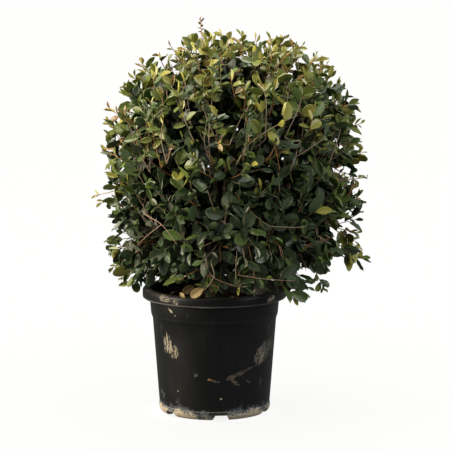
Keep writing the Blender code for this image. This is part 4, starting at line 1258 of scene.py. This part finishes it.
class Growth:
    """The twigs and leaves of one mass, with kept_clear as the rooms that leaves keep out of."""

    def __init__(self, mass, kept_clear):
        self.mass = mass
        self.kept_clear = kept_clear
        self.chance = random.Random(f"{SEED} {mass.name}")
        self.twigs = Heap()
        self.leaves = [[] for _ in range(INNER_FORM + 1)]

    def twig(self, points, radii, bark):
        """Adds a closed tapering tube along the points."""
        count = len(points)
        path = np.array([tuple(point) for point in points])
        ahead = np.gradient(path, axis=0)
        ahead /= np.linalg.norm(ahead, axis=1)[:, None]
        steep = abs(ahead[0, 2]) >= 0.9
        side = np.cross(ahead, (0.9, 0.3, 0.1) if steep else (0.31, 0.17, 0.94))
        side /= np.linalg.norm(side, axis=1)[:, None]
        other = np.cross(ahead, side)
        radius = np.linspace(radii[0], radii[1], count)[:, None, None]
        angle = np.arange(TWIG_SIDES) * math.tau / TWIG_SIDES
        ring = (
            np.cos(angle)[None, :, None] * side[:, None, :]
            + np.sin(angle)[None, :, None] * other[:, None, :]
        )
        tube = (path[:, None, :] + radius * ring).reshape(-1, 3)
        corners = []
        for row in range(count - 1):
            for number in range(TWIG_SIDES):
                here, following = row * TWIG_SIDES + number, row * TWIG_SIDES + (number + 1) % TWIG_SIDES
                corners += [here, following, following + TWIG_SIDES, here + TWIG_SIDES]
        last = (count - 1) * TWIG_SIDES
        corners += list(range(TWIG_SIDES - 1, -1, -1)) + list(range(last, last + TWIG_SIDES))
        counts = [4] * ((count - 1) * TWIG_SIDES) + [TWIG_SIDES] * 2
        self.twigs.add(
            tube,
            np.array(corners, np.int32),
            np.array(counts, np.int32),
            np.full(len(counts), bark, np.int32),
        )

    def leaf(self, form, root, heading, facing, length, tint, limit):
        """Adds a leaf if it keeps to its mass, its reach and clear of the pot. Says whether it did."""
        middle = root + heading * (length * 0.5)
        tip = root + heading * length
        if not self.mass.holds(middle) or crown_level(tip) > limit:
            return False
        if not (clear_of_pot(middle) and clear_of_pot(tip)):
            return False
        if limit == LEAF_LEVEL_LIMIT and self.in_gap(middle):
            return False
        near_root = root + heading * (length * 0.2)
        if any(room.covers(spot) for room in self.kept_clear for spot in (near_root, middle, tip)):
            return False
        across = facing.cross(heading).normalized()
        above = heading.cross(across)
        breadth = length * self.chance.uniform(*LEAF_BREADTHS)
        foot = root - heading * LEAF_SINK
        self.leaves[form].append((foot, heading, across, above, length, breadth, tint))
        return True

    def in_gap(self, point):
        """True in the dark gaps between two tufts, where no leaf stands."""
        outward = (point - CROWN_MIDDLE).normalized()
        depth = GAP_DEPTHS[0] + (GAP_DEPTHS[1] - GAP_DEPTHS[0]) * max(0.0, outward.z)
        depth += UNDERSIDE_GAPS * max(0.0, -outward.z - UNDERSIDE_FROM)
        return noise.noise(outward / TUFT_WIDTH) < depth and crown_level(point) > GAP_LEVEL

    def green(self, point, lift=0.0):
        """A place in the run of greens for a shoot there, about 0 to 1: low ones are darker, partly painted
        shade.
        """
        share = max(0.0, rise_share(point))
        return TOP_GREEN * share**GREEN_CURVE + lift + self.chance.gauss(0, GREEN_SPREAD)

    def leaf_size(self, point):
        """How large leaves are at that height, as a share of the usual."""
        share = rise_share(point)
        foot, middle, top = LEAF_SIZES
        if share < 0.5:
            return foot + (middle - foot) * share * 2
        return middle + (top - middle) * (share * 2 - 1)

    def tint_of(self, green, shade=0.0):
        """A tint for a leaf of such a shoot, shade further down the run of greens, or now and then odd."""
        luck = self.chance.random()
        if luck < ODD_SHARE:
            return self.chance.choice(DRY_TINTS)
        if luck < ODD_SHARE + FRESH_SHARE:
            return FRESH_GREEN
        if luck > 1 - BLUSHED_SHARE * (green - 0.5):
            return BLUSHED
        place = (green - shade + self.chance.gauss(0, TINT_SPREAD)) * GREENS
        return FIRST_GREEN + max(0, min(GREENS - 1, int(place)))

    def form_of(self, point):
        """A kind of leaf: rounder ones towards the crown's foot."""
        share = rise_share(point)
        kinds = [kind for kind, _, _ in FORM_SHARES]
        weights = [low + (high - low) * share for _, low, high in FORM_SHARES]
        return self.chance.choices(kinds, weights)[0]

    def leafy_shoot(
        self, points, green, limit, size, bare, tips=TIP_LEAVES, turned_to=None, lift=0.0, bronzed=False
    ):
        """Leaves up the outer part of a shoot, round it by the golden angle, and young ones at its tip.

        turned_to is what they all turn towards, and lift moves them up the run of greens.
        """
        chance = self.chance
        run = sum((high - low).length for low, high in zip(points, points[1:]))
        apart = LEAF_STEP * min(1.0, 0.2 + 0.84 * size)  # small leaves are closer together
        count = max(4, int(run * (1 - bare) / apart))
        turn = chance.uniform(0, math.tau)
        low_share = drop_share(points[-1])
        for number in range(count):
            step = ((number + 0.5) / count) ** LEAF_CROWDING
            root, ahead = on_path(points, bare + (1 - bare) * step)
            turn += LEAF_TURN
            angle = LEAF_ANGLES[0] + (LEAF_ANGLES[1] - LEAF_ANGLES[0]) * step**1.5
            angle += chance.gauss(0, LEAF_ANGLE_SPREAD)
            side = Matrix.Rotation(turn, 3, ahead) @ ahead.orthogonal().normalized()
            heading = ahead * math.cos(angle) + side * math.sin(angle)
            slack = LEAF_SLACK * (1 - step) * chance.uniform(*LEAF_SLACK_SPREAD)
            slack += LOW_LEAF_SLACK * low_share
            heading = (heading - UP * slack).normalized()
            outward = (root - CROWN_MIDDLE).normalized()
            shake = Vector([chance.gauss(0, spread) for spread in LEAF_SHAKE])
            upwards = UP * (LEAF_FACES_UP + LEAF_FACES_UP * low_share)
            facing = ahead * 0.3 + upwards + (turned_to or outward * 0.3) + shake
            young = number >= count - tips
            length = LEAF_LENGTH * size * chance.gauss(1, LEAF_LENGTH_SPREAD)
            if young:
                length *= YOUNG_LEAF_SIZE - YOUNG_LEAF_STEP * (number - count + tips)
            elif step < 0.2:
                length *= FOOT_LEAF_SIZE
            shortest, longest = LEAF_LENGTH_LIMITS
            length = max(shortest, min(longest, length))
            shade = FRONT_SHADE * max(0.0, -outward.y) ** 3 * (1 - max(0.0, outward.z))
            tint = self.tint_of(green, shade - lift)
            form = self.form_of(root)
            if young:
                form = YOUNG_FORM if chance.random() < YOUNG_FORM_SHARE else ELLIPTIC
                if tint <= GREENS:
                    tint = min(GREENS, tint + 1)
                if green > SUNNY_GREEN and chance.random() < YOUNG_TINT_SHARE:
                    tint = BLUSHED if chance.random() < BLUSHED_TIPS else YOUNG
            elif chance.random() < SCORCHED_SHARE * (1 - green):
                form, tint = DRIED_SIDE, SCORCHED
            if tint in DRY_TINTS:
                length *= DRIED_SIZE
            if bronzed:
                tint = (BLUSHED, YOUNG, BLUSHED, BRONZE)[number % 4]
            if not self.leaf(form, root, heading, facing, length, tint, limit):
                self.leaf(form, root, heading, facing, length * SECOND_TRY_SIZE, tint, limit)

    def inner_leaves(self, points, green, count):
        """Plain dark leaves round a branch inside the crown, which only show between the outer ones."""
        chance = self.chance
        for _ in range(count):
            root, ahead = on_path(points, chance.uniform(0.15, 1.0))
            side = Matrix.Rotation(chance.uniform(0, math.tau), 3, ahead) @ ahead.orthogonal().normalized()
            heading = (ahead * chance.uniform(0.1, 0.9) + side).normalized()
            # Painted shade: most take the shade's near-black tint, the rest a lower green.
            shaded = chance.random() < SHADED_SHARE
            tint = SHADE_GREEN if shaded else self.tint_of(green - INNER_GREEN_DROP)
            length = LEAF_LENGTH * chance.uniform(*INNER_LEAF_SIZES)
            facing = ahead + UP + Vector((chance.gauss(0, 0.4), chance.gauss(0, 0.4), 0))
            self.leaf(INNER_FORM, root, heading, facing, length, tint, LEAF_LEVEL_LIMIT)

    def grow(self, branch_directions, shoot_directions, strays, showing):
        limb_ends = self.grow_limbs()
        feet = self.grow_branches(branch_directions, limb_ends) or limb_ends
        self.grow_shoots(shoot_directions, feet)
        self.grow_strays(strays, feet)
        self.grow_showing(showing, feet)

    def grow_limbs(self):
        """The stem that carries on from the bough, and the limbs that leave it. Returns their ends."""
        mass = self.mass
        start = mass.entry + mass.heading * GAP
        base = mass.entry + mass.heading * STEM_JOIN
        stem_end = crown_point(mass.facing, STEM_LEVEL)
        self.twig([start, base, base.lerp(stem_end, 0.5), stem_end], STEM_RADII, OLD_BARK)
        fork = base.lerp(stem_end, LIMB_FORK)
        side = mass.facing.orthogonal().normalized()
        limb_ends = [stem_end]
        for number in range(LIMBS):
            round_stem = Matrix.Rotation(math.tau * (number + 0.5) / LIMBS, 3, mass.facing)
            direction = mass.facing + (round_stem @ side) * math.tan(LIMB_SPREAD)
            end = crown_point(direction.normalized(), LIMB_LEVEL)
            limb = bent_path(fork, end, -UP * LIMB_SAG, 5)
            self.twig(limb, LIMB_RADII, OLD_BARK)
            self.inner_leaves(limb, self.green(end), INNER_LEAVES_PER_LIMB)
            limb_ends.append(end)
        return limb_ends

    def grow_branches(self, directions, limb_ends):
        """Branches from the nearest limbs. Returns the places on them where shoots start."""
        chance = self.chance
        feet = []
        for direction in directions:
            level = BRANCH_LEVEL + chance.gauss(0, BRANCH_LEVEL_SPREAD)
            end = crown_point(direction, level)
            if not (self.mass.holds(end) and clear_of_pot(end)):
                continue
            foot = nearest(end, limb_ends)
            run = (end - foot).length
            points = bent_path(foot, end, -UP * run * chance.uniform(*BRANCH_SAG), 5)
            self.twig(points, BRANCH_RADII, OLD_BARK)
            self.inner_leaves(points, self.green(end), INNER_LEAVES_PER_BRANCH)
            feet += [on_path(points, share)[0] for share in BRANCH_FEET]
        return feet

    def grow_shoots(self, directions, feet):
        """The clipped shoots, which rise and fall in tufts and stand back in the hollows."""
        chance = self.chance
        for direction in directions:
            hollow = recess(direction)
            lobe = noise.noise(direction / LOBE_WIDTH)
            tuft = noise.noise(direction / TUFT_WIDTH)
            relief = LOBE_RELIEF * lobe + TUFT_RELIEF * tuft - hollow
            level = SHOOT_LEVEL + relief + chance.gauss(0, SHOOT_LEVEL_SPREAD)
            tip = crown_point(direction, min(SHOOT_LEVEL_LIMIT, level))
            thick = SHOOT_SHARE + LOBE_THINNING * lobe + TUFT_THINNING * tuft - HOLLOW_THINNING * hollow
            kept = chance.random() < thick
            if not (kept and self.mass.holds(tip) and clear_of_pot(tip)):
                continue
            outward = (tip - CROWN_MIDDLE).normalized()
            low_share = drop_share(tip)
            lean = outward * (SHOOT_LEAN_OUT + LOW_SHOOT_LEAN_OUT * low_share)
            lean += UP * (1 - LOW_SHOOT_LEAN_DOWN * low_share)
            foot = nearest(tip - lean.normalized() * chance.uniform(*SHOOT_RUNS), feet)
            run = (tip - foot).length
            sag = SHOOT_DROOP * low_share - SHOOT_RISE * (1 - low_share)
            wander = Vector((chance.gauss(0, SHOOT_WANDER), chance.gauss(0, SHOOT_WANDER), 0)) * run
            points = bent_path(foot, tip, UP * sag * run + wander, 6)
            radius = SHOOT_RADIUS + SHOOT_THICKENING * run
            old = run > OLD_SHOOT or chance.random() < OLD_SHOOT_SHARE
            self.twig(points, (radius, SHOOT_TIP_RADIUS), OLD_BARK if old else YOUNG_BARK)
            bare = max(LEAST_BARE, 1 - chance.uniform(*LEAFY_RUNS) / run)
            self.leafy_shoot(points, self.green(tip), LEAF_LEVEL_LIMIT, self.leaf_size(tip), bare)

    def grow_strays(self, strays, feet):
        """The shoots that outgrew the clipping. Those in front face forwards, and the others back."""
        chance = self.chance
        for direction, reach, bare, size, which in strays:
            furthest = crown_point(direction, reach)
            if not self.mass.holds(furthest):
                continue
            foot = nearest(furthest, feet)
            tip = furthest - (furthest - foot).normalized() * STRAY_TIP
            run = (tip - foot).length
            aside = Vector((chance.gauss(0, STRAY_WANDER), chance.gauss(0, STRAY_WANDER), -STRAY_SAG))
            points = bent_path(foot, tip, aside * run, 7)
            self.twig(points, STRAY_RADII, YOUNG_BARK)
            bare = max(bare, 1 - STRAY_LEAFY_RUN / run)
            turned_to = Vector((0, -0.6 if furthest.y <= 0 else 0.6, 0.2))
            green = STRAY_GREEN - STRAY_GREEN_DROP * drop_share(points[-1])
            green += chance.gauss(0, STRAY_GREEN_SPREAD)
            limit = reach + LEAF_OVERREACH
            lift = LIT_STRAYS.get(which, 0.0)
            bronzed = which in BRONZED_STRAYS
            self.leafy_shoot(points, green, limit, size, bare, STRAY_TIP_LEAVES, turned_to, lift, bronzed)

    def grow_showing(self, twigs, feet):
        """The twigs that show, each from the crown's nearest branch or from the twig that carries it."""
        for path, carried, radius, bare, bark in twigs:
            if not self.mass.holds(path[-1]):
                continue
            joined = path
            if not carried:
                foot = nearest(path[0], feet)
                joined = bent_path(foot, path[0], (path[0] - path[1]) * 0.5, 4)[:-1] + path
            self.twig(joined, (radius, SHOOT_TIP_RADIUS), bark)
            if bare < 1:
                green = self.green(path[-1], SHOWING_LIFT)
                self.leafy_shoot(path, green, LEAF_LEVEL_LIMIT, SHOWING_LEAF_SIZE, bare)

    def pieces(self, leaf_shapes, greenery, barks):
        """The mass's leaves as one piece and its twigs as another, in its node's place."""
        name = self.mass.name.replace("foliage_", "")
        heap = Heap()
        for shape, copies in zip(leaf_shapes, self.leaves):
            if not copies:
                continue
            roots = np.array([tuple(copy[0]) for copy in copies])
            axes = np.empty((len(copies), 3, 3))
            for row, (_, heading, across, above, length, breadth, _) in enumerate(copies):
                axes[row, :, 0] = heading * length
                axes[row, :, 1] = across * breadth
                axes[row, :, 2] = above * length
            slots = np.array([copy[6] * ROLES for copy in copies], np.int32)
            heap.add_copies(shape, axes, roots, slots)
        leaves = heap.piece("leaves_" + name, greenery, SHARP_LEAF_EDGE)
        keep(leaves, "foliage", self.mass.name)
        twigs = self.twigs.piece("twigs_" + name, barks, SHARP_LEAF_EDGE)
        keep(twigs, "bark", self.mass.name)


def build_foliage(masses, greenery):
    shapes = [shape_of(model_leaf(form)) for form in LEAF_FORMS]
    shapes.append(shape_of(model_leaf(LEAF_FORMS[OVAL], few_faces=True)))
    barks = [
        twig_bark("young_twig_bark", "#976a41", 0.003, 0.55),
        twig_bark("twig_bark", "#8d7c66", 0.002, 0.7),
        twig_bark("peeled_twig", "#9a7a67", 0.002, 0.6),
    ]
    branch_directions = even_directions(BRANCHES)
    shoot_directions = even_directions(SHOOTS)
    strays = [
        (bearing(turn, tilt), reach, bare, size, (turn, tilt))
        for turn, tilt, reach, bare, size in STRAY_SHOOTS
    ]
    showing, kept_clear = plan_showing_twigs()
    kept_clear += [Opening(crown_place(*place), radius) for *place, radius in SKY_OPENINGS]
    for mass in masses:
        growth = Growth(mass, kept_clear)
        growth.grow(branch_directions, shoot_directions, strays, showing)
        growth.pieces(shapes, greenery, barks)
    return shapes


# ---- Pot ----


def arc(middle, radius, start, end, steps):
    """Points (radius, height) along part of a circle, both ends included. Angles are in degrees."""
    angles = [math.radians(start + (end - start) * i / steps) for i in range(steps + 1)]
    return [(middle[0] + radius * math.cos(a), middle[1] + radius * math.sin(a)) for a in angles]


def pot_profile():
    """Half of the pot's section, from its floor up the inside and down the outside to its underside."""
    floor = FLOOR_UNDERSIDE + FLOOR_THICKNESS
    bore_radius = COLLAR_TOP_RADIUS - POT_WALL
    crest = POT_HEIGHT
    inside_lip = RIM_RADIUS - LIP_THICKNESS
    inside = [
        (BODY_FOOT_RADIUS - POT_WALL, floor),
        (BODY_TOP_RADIUS - POT_WALL, BODY_TOP + POT_WALL),
        (COLLAR_FOOT_RADIUS - POT_WALL, COLLAR_FOOT + POT_WALL),
    ]
    inner_edge = arc(
        (bore_radius + RIM_INNER_EDGE, crest - RIM_INNER_EDGE), RIM_INNER_EDGE, 180, 90, 5
    )
    shoulder = arc((RIM_RADIUS - RIM_SHOULDER, crest - RIM_SHOULDER), RIM_SHOULDER, 90, 0, 8)
    lip_rows = [(RIM_RADIUS + 0.0002, LIP_FOOT + 0.009)]
    lip_edge = arc((RIM_RADIUS - LIP_ROUNDING, LIP_FOOT + LIP_ROUNDING), LIP_ROUNDING, 0, -90, 3)
    lip_inside = [
        (inside_lip, LIP_FOOT),
        (inside_lip, crest - 2 * LIP_THICKNESS),
        (COLLAR_TOP_RADIUS, crest - 2 * LIP_THICKNESS),
    ]
    collar = [
        (COLLAR_TOP_RADIUS - 0.0018, LIP_FOOT - 0.010),
        (COLLAR_FOOT_RADIUS + 0.0002, COLLAR_FOOT + 0.0025),
        (COLLAR_FOOT_RADIUS - 0.0006, COLLAR_FOOT - 0.0003),
        (BODY_TOP_RADIUS + 0.0010, BODY_TOP + 0.0018),
        (BODY_TOP_RADIUS, BODY_TOP - 0.0010),
    ]
    band_radius = BODY_FOOT_RADIUS + FOOT_BAND_STEP
    body = [
        (
            BODY_TOP_RADIUS + (BODY_FOOT_RADIUS - BODY_TOP_RADIUS) * share,
            BODY_TOP + (FOOT_BAND + FOOT_BAND_STEP - BODY_TOP) * share,
        )
        for share in (0.25, 0.5, 0.75, 1.0)
    ]
    foot = [(band_radius, FOOT_BAND)] + arc(
        (band_radius - FOOT_ROUNDING, FOOT_ROUNDING), FOOT_ROUNDING, 0, -90, 8
    )
    ring_inside = band_radius - FOOT_ROUNDING - FOOT_RING_WIDTH
    under = [(ring_inside, 0.0), (ring_inside - 0.002, FLOOR_UNDERSIDE)]
    return (
        inside + inner_edge + shoulder + lip_rows + lip_edge + lip_inside + collar + body + foot + under
    )


def build_pot():
    """Drawn up and down from one circle, ring by ring, then opened by notches and drain holes."""
    profile = pot_profile()
    radius, height = profile[0]
    pot = start_piece(
        bpy.ops.mesh.primitive_circle_add,
        "pot_shell",
        vertices=POT_SIDES,
        radius=radius,
        location=(0, 0, height),
    )
    bpy.ops.object.mode_set(mode="OBJECT")
    bpy.ops.object.transform_apply(location=True, rotation=False, scale=False)
    bpy.ops.object.mode_set(mode="EDIT")
    bpy.ops.mesh.select_all(action="SELECT")
    bpy.ops.mesh.edge_face_add()
    pick(lambda middle: True, "EDGE")
    for next_radius, next_height in profile[1:]:
        bpy.ops.mesh.extrude_edges_move(
            TRANSFORM_OT_translate={"value": (0, 0, next_height - height)}
        )
        scale = next_radius / radius
        bpy.ops.transform.resize(value=(scale, scale, 1), center_override=(0, 0, next_height))
        radius, height = next_radius, next_height
    bpy.ops.mesh.edge_face_add()
    wave = random.Random("lip")
    for number in range(LIP_WAVE_SPOTS):
        turn = (number + wave.uniform(0.2, 0.8)) * math.tau / LIP_WAVE_SPOTS
        spot = Vector((math.cos(turn), math.sin(turn), 0)) * RIM_RADIUS
        spot.z = LIP_FOOT
        pick(lambda point: (point - spot).length < LIP_SPOT and point.z < LIP_FOOT + 0.002)
        bpy.ops.transform.translate(
            value=(0, 0, LIP_WAVE * wave.uniform(-1, 1)),
            use_proportional_edit=True,
            use_proportional_connected=True,
            proportional_size=LIP_WAVE_REACH,
        )
    finish_piece(pot)

    notch = start_piece(bpy.ops.mesh.primitive_cube_add, "notch_cutter", size=1)
    bpy.ops.mesh.select_all(action="SELECT")
    foot_width = 2 * NOTCH_FOOT_WIDTH - NOTCH_TOP_WIDTH
    bpy.ops.transform.resize(value=(0.05, foot_width, 2 * NOTCH_HEIGHT))
    pick(lambda point: point.z > 0)
    bpy.ops.transform.resize(value=(1, NOTCH_TOP_WIDTH / foot_width, 1))
    pick(lambda middle: middle.z > 0 and abs(middle.y) > 0.01 and abs(middle.x) < 0.001, "EDGE")
    bpy.ops.mesh.bevel(offset=NOTCH_ROUNDING, segments=4)
    bpy.ops.mesh.select_all(action="SELECT")
    bpy.ops.transform.translate(value=(BODY_FOOT_RADIUS, 0, 0))
    finish_piece(notch)
    drain = start_piece(
        bpy.ops.mesh.primitive_cylinder_add,
        "drain_cutter",
        vertices=DRAIN_SIDES,
        radius=DRAIN_RADIUS,
        depth=0.02,
        location=(DRAIN_CIRCLE, 0, FLOOR_UNDERSIDE),
    )
    finish_piece(drain)
    alone(notch)
    drain.select_set(True)
    bpy.ops.object.join()
    copies = [notch]
    for number in range(1, NOTCHES):
        copy = notch.copy()
        copy.data = notch.data.copy()
        bpy.context.scene.collection.objects.link(copy)
        copy.rotation_euler.z = NOTCH_TURN + number * math.tau / NOTCHES
        copies.append(copy)
    notch.rotation_euler.z = NOTCH_TURN
    alone(notch)
    for copy in copies:
        copy.select_set(True)
    bpy.ops.object.join()
    opening = pot.modifiers.new("openings", "BOOLEAN")
    opening.operation = "DIFFERENCE"
    opening.solver = "EXACT"
    opening.object = notch
    apply_modifiers(pot)
    bpy.data.objects.remove(notch)
    alone(pot)
    bpy.ops.object.shade_smooth_by_angle(angle=SHARP_EDGE)
    on_rim = [mark for mark in POT_MARKS if mark[1] > LIP_FOOT]
    on_wall = [mark for mark in POT_MARKS if mark[1] <= LIP_FOOT]
    wall = polypropylene("moulded_polypropylene_wall", on_wall)
    rim = polypropylene("moulded_polypropylene_rim", on_rim)
    dress(pot, [wall, rim])
    for face in pot.data.polygons:
        face.material_index = int(face.center.z > LIP_FOOT - 0.0002)
    keep(pot, "pot_plastic", "pot")


# ---- Compost ----


def compost_height(radius):
    return COMPOST_TOP - COMPOST_FALL * (radius / COMPOST_RADIUS) ** 1.3


def lump(name, size, unevenness, seed):
    """One crumb or chip, knocked about from a block."""
    piece = start_piece(bpy.ops.mesh.primitive_cube_add, name, size=1)
    bpy.ops.mesh.select_all(action="SELECT")
    bpy.ops.mesh.subdivide(number_cuts=1, smoothness=0.7)
    bpy.ops.transform.resize(value=size)
    bpy.ops.transform.vertex_random(offset=unevenness, seed=seed)
    return shape_of(finish_piece(piece, SHARP_LUMP_EDGE))


def strew(heap, shape, count, scales, chance, slots, sunk):
    """Copies of a small shape strewn over the compost, clear of the trunk's foot."""
    axes, roots = [], []
    while len(roots) < count:
        radius = COMPOST_RADIUS * math.sqrt(chance.random()) * STREWN_TO
        turn = chance.uniform(0, math.tau)
        size = chance.uniform(*scales)
        if radius < STREWN_FROM or radius > COMPOST_RADIUS - size * STREWN_REACH:
            continue
        height = compost_height(radius) + sunk * size
        roots.append((radius * math.cos(turn), radius * math.sin(turn), height))
        tilt = Matrix.Rotation(chance.gauss(0, STREWN_TILT), 3, "X")
        tilt = tilt @ Matrix.Rotation(chance.gauss(0, STREWN_TILT), 3, "Y")
        spin = Matrix.Rotation(chance.uniform(0, math.tau), 3, "Z")
        axes.append(np.array(tilt @ spin) * size)
    picked = np.array([chance.choice(slots) for _ in roots], np.int32)
    heap.add_copies(shape, np.array(axes), np.array(roots), picked)


# Leaves that lie on the rim and just inside it, or hang over it: form, where the stalk starts, where
# the tip is, what way the upper face looks, and tint.
LYING_LEAVES = (
    (OVAL_ROLLED, (-0.0235, -0.1630, 0.3215), (-0.0540, -0.1700, 0.3018), (0.1, -0.9, 0.5), STRAW),
    (OVAL, (-0.0160, -0.1600, 0.3180), (-0.0120, -0.1660, 0.2995), (0.4, -0.9, 0.3), MIDDLE_GREEN),
    (OVAL, (-0.0440, -0.1390, 0.3230), (-0.0730, -0.1500, 0.3060), (0.0, -0.9, 0.5), BROWNED),
    (YOUNG_FORM, (-0.0235, -0.1600, 0.3240), (-0.0450, -0.1600, 0.3270), (0.0, -0.8, 0.6), YOUNG),
    (ELLIPTIC, (-0.0800, -0.1500, 0.3080), (-0.0690, -0.1640, 0.2990), (-0.5, -0.6, 0.6), STRAW),
    (OVAL, (-0.0700, -0.1200, 0.2710), (-0.0980, -0.1040, 0.2710), (0.1, -0.2, 1.0), DEAD_BROWN),
    (OVAL_ROLLED, (-0.0300, -0.1150, 0.2725), (-0.0420, -0.0820, 0.2760), (0.2, -0.3, 1.0), DEAD_BROWN),
    (OVAL, (-0.0350, -0.1250, 0.2760), (-0.0600, -0.1180, 0.2900), (0.1, -0.9, 0.5), DEAD_BROWN),
    (ELLIPTIC_BENT, (-0.1000, -0.0850, 0.2710), (-0.0830, -0.1140, 0.2710), (0.0, 0.0, 1.0), BRONZE),
)


def build_compost(leaf_shapes, greenery):
    soil = peat()
    dress(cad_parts["compost"], [soil])
    chance = random.Random("compost")
    fibre = twig_bark("composted_bark", "#3f2c1e", 0.003, 0.9)
    crumbs = Heap()
    for seed in range(3):
        shape = lump("crumb", (0.0042, 0.0036, 0.0030), 0.0006, seed)
        strew(crumbs, shape, CRUMBS // 3, (0.5, 1.7), chance, (0, 0, 0, 1), 0.0004)
    for seed in range(2):
        shape = lump("chip", (0.013, 0.0055, 0.0020), 0.0008, seed)
        strew(crumbs, shape, CHIPS // 2, (0.6, 1.5), chance, (1,), 0.0010)
    keep(crumbs.piece("compost_crumbs", [soil, fibre], SHARP_LUMP_EDGE), "compost")

    fallen = Heap()
    slots = [tint * ROLES for tint in (DEAD_BROWN, DEAD_BROWN, STRAW, BRONZE)]
    for form in (OVAL_ROLLED, ELLIPTIC_BENT):
        strew(fallen, leaf_shapes[form], FALLEN_LEAVES // 2, (0.024, 0.036), chance, slots, 0.10)
    for form, root, tip, facing, tint in LYING_LEAVES:
        run = Vector(tip) - Vector(root)
        across = Vector(facing).cross(run).normalized()
        above = run.normalized().cross(across)
        axes = np.array([run, across * run.length, above * run.length]).T
        first_slot = np.array([tint * ROLES], np.int32)
        fallen.add_copies(leaf_shapes[form], axes[None], np.array([root]), first_slot)
    keep(fallen.piece("fallen_leaves", greenery, SHARP_LEAF_EDGE), "foliage")


# ---- Studio ----


# Softboxes, which look at the crown's middle: name, place, side, watts and tint.
SOFTBOXES = (
    ("key_softbox", (-2.2, 0.2, 3.3), 1.6, 172, "#fff4e0"),
    ("top_softbox", (0.3, 0.9, 3.4), 1.8, 86, "#fffcee"),
    ("left_softbox", (-3.6, -1.0, 1.4), 2.0, 275, "#fff1d8"),
    ("right_softbox", (3.2, -2.2, 2.3), 2.2, 114, "#fffdf6"),
    ("front_softbox", (-0.7, -3.0, 3.4), 1.2, 8, "#eaf2ff"),
)
CAMERA_PLACE = (0.0272, -5.916, 1.2976)
CAMERA_PITCH = math.radians(8.237)  # down from level
CAMERA_LENS = 201.86
SENSOR_WIDTH = 36
FLOOR_SIZE = 120.0
STUDIO_FILL = 0.185  # strength of the walls' light on the plant


def softbox(name, place, side, power, tint):
    light = bpy.data.lights.new(name, "AREA")
    light.shape = "RECTANGLE"
    light.size = light.size_y = side
    light.energy = power
    light.color = colour(tint)[:3]
    lamp = new_object(name, light)
    lamp.location = place
    lamp.rotation_euler = (CROWN_MIDDLE - Vector(place)).to_track_quat("-Z", "Y").to_euler()
    return lamp


def build_studio():
    floor = start_piece(bpy.ops.mesh.primitive_plane_add, "studio_floor", size=FLOOR_SIZE)
    bpy.ops.object.mode_set(mode="OBJECT")
    dress(floor, [fine_skin("matt_white_floor_paint", "#f4f4f3", 0.9, 0.003, 0.0002, 0.1)])
    # The white sweep shows, but its glare doesn't grey the leaves and the pot.
    floor.visible_diffuse = False
    floor.visible_glossy = False

    scene = bpy.context.scene
    world = bpy.data.worlds.new("studio")
    world.use_nodes = True
    scene.world = world
    tree = world.node_tree
    # The walls beyond the floor look white, and the light that they throw on the plant is softer.
    seen = node(tree, "LightPath").outputs["Is Camera Ray"]
    strength = node(tree, "MapRange", (seen, 0.0, 1.0, STUDIO_FILL, 1.0))
    feed(tree, tree.nodes["Background"], {"Color": (1.0, 1.0, 1.0, 1.0), "Strength": strength})

    not_floor = bpy.data.collections.new("not_lit_by_softboxes")
    not_floor.objects.link(floor)
    not_floor.collection_objects[0].light_linking.link_state = "EXCLUDE"
    for settings in SOFTBOXES:
        softbox(*settings).light_linking.receiver_collection = not_floor

    sun = bpy.data.lights.new("floor_light", "SUN")
    sun.energy = 3.0
    sun.angle = math.radians(30)
    floor_lamp = new_object("floor_light", sun)
    floor_lamp.location = (0, 0, 5)
    only_floor = bpy.data.collections.new("lit_by_floor_light")
    only_floor.objects.link(floor)
    floor_lamp.light_linking.receiver_collection = only_floor
    floor_lamp.light_linking.blocker_collection = only_floor

    lens = bpy.data.cameras.new("camera")
    lens.lens = CAMERA_LENS
    lens.sensor_width = SENSOR_WIDTH
    lens.clip_end = 300
    scene.camera = new_object("camera", lens)
    scene.camera.location = CAMERA_PLACE
    scene.camera.rotation_euler = (math.radians(90) - CAMERA_PITCH, 0, 0)
    scene.view_settings.view_transform = "Standard"


# ---- All together ----

masses = plan_masses()
greenery = leaf_materials()
build_limbs(masses)
leaf_shapes = build_foliage(masses, greenery)
build_pot()
build_compost(leaf_shapes, greenery)
build_studio()
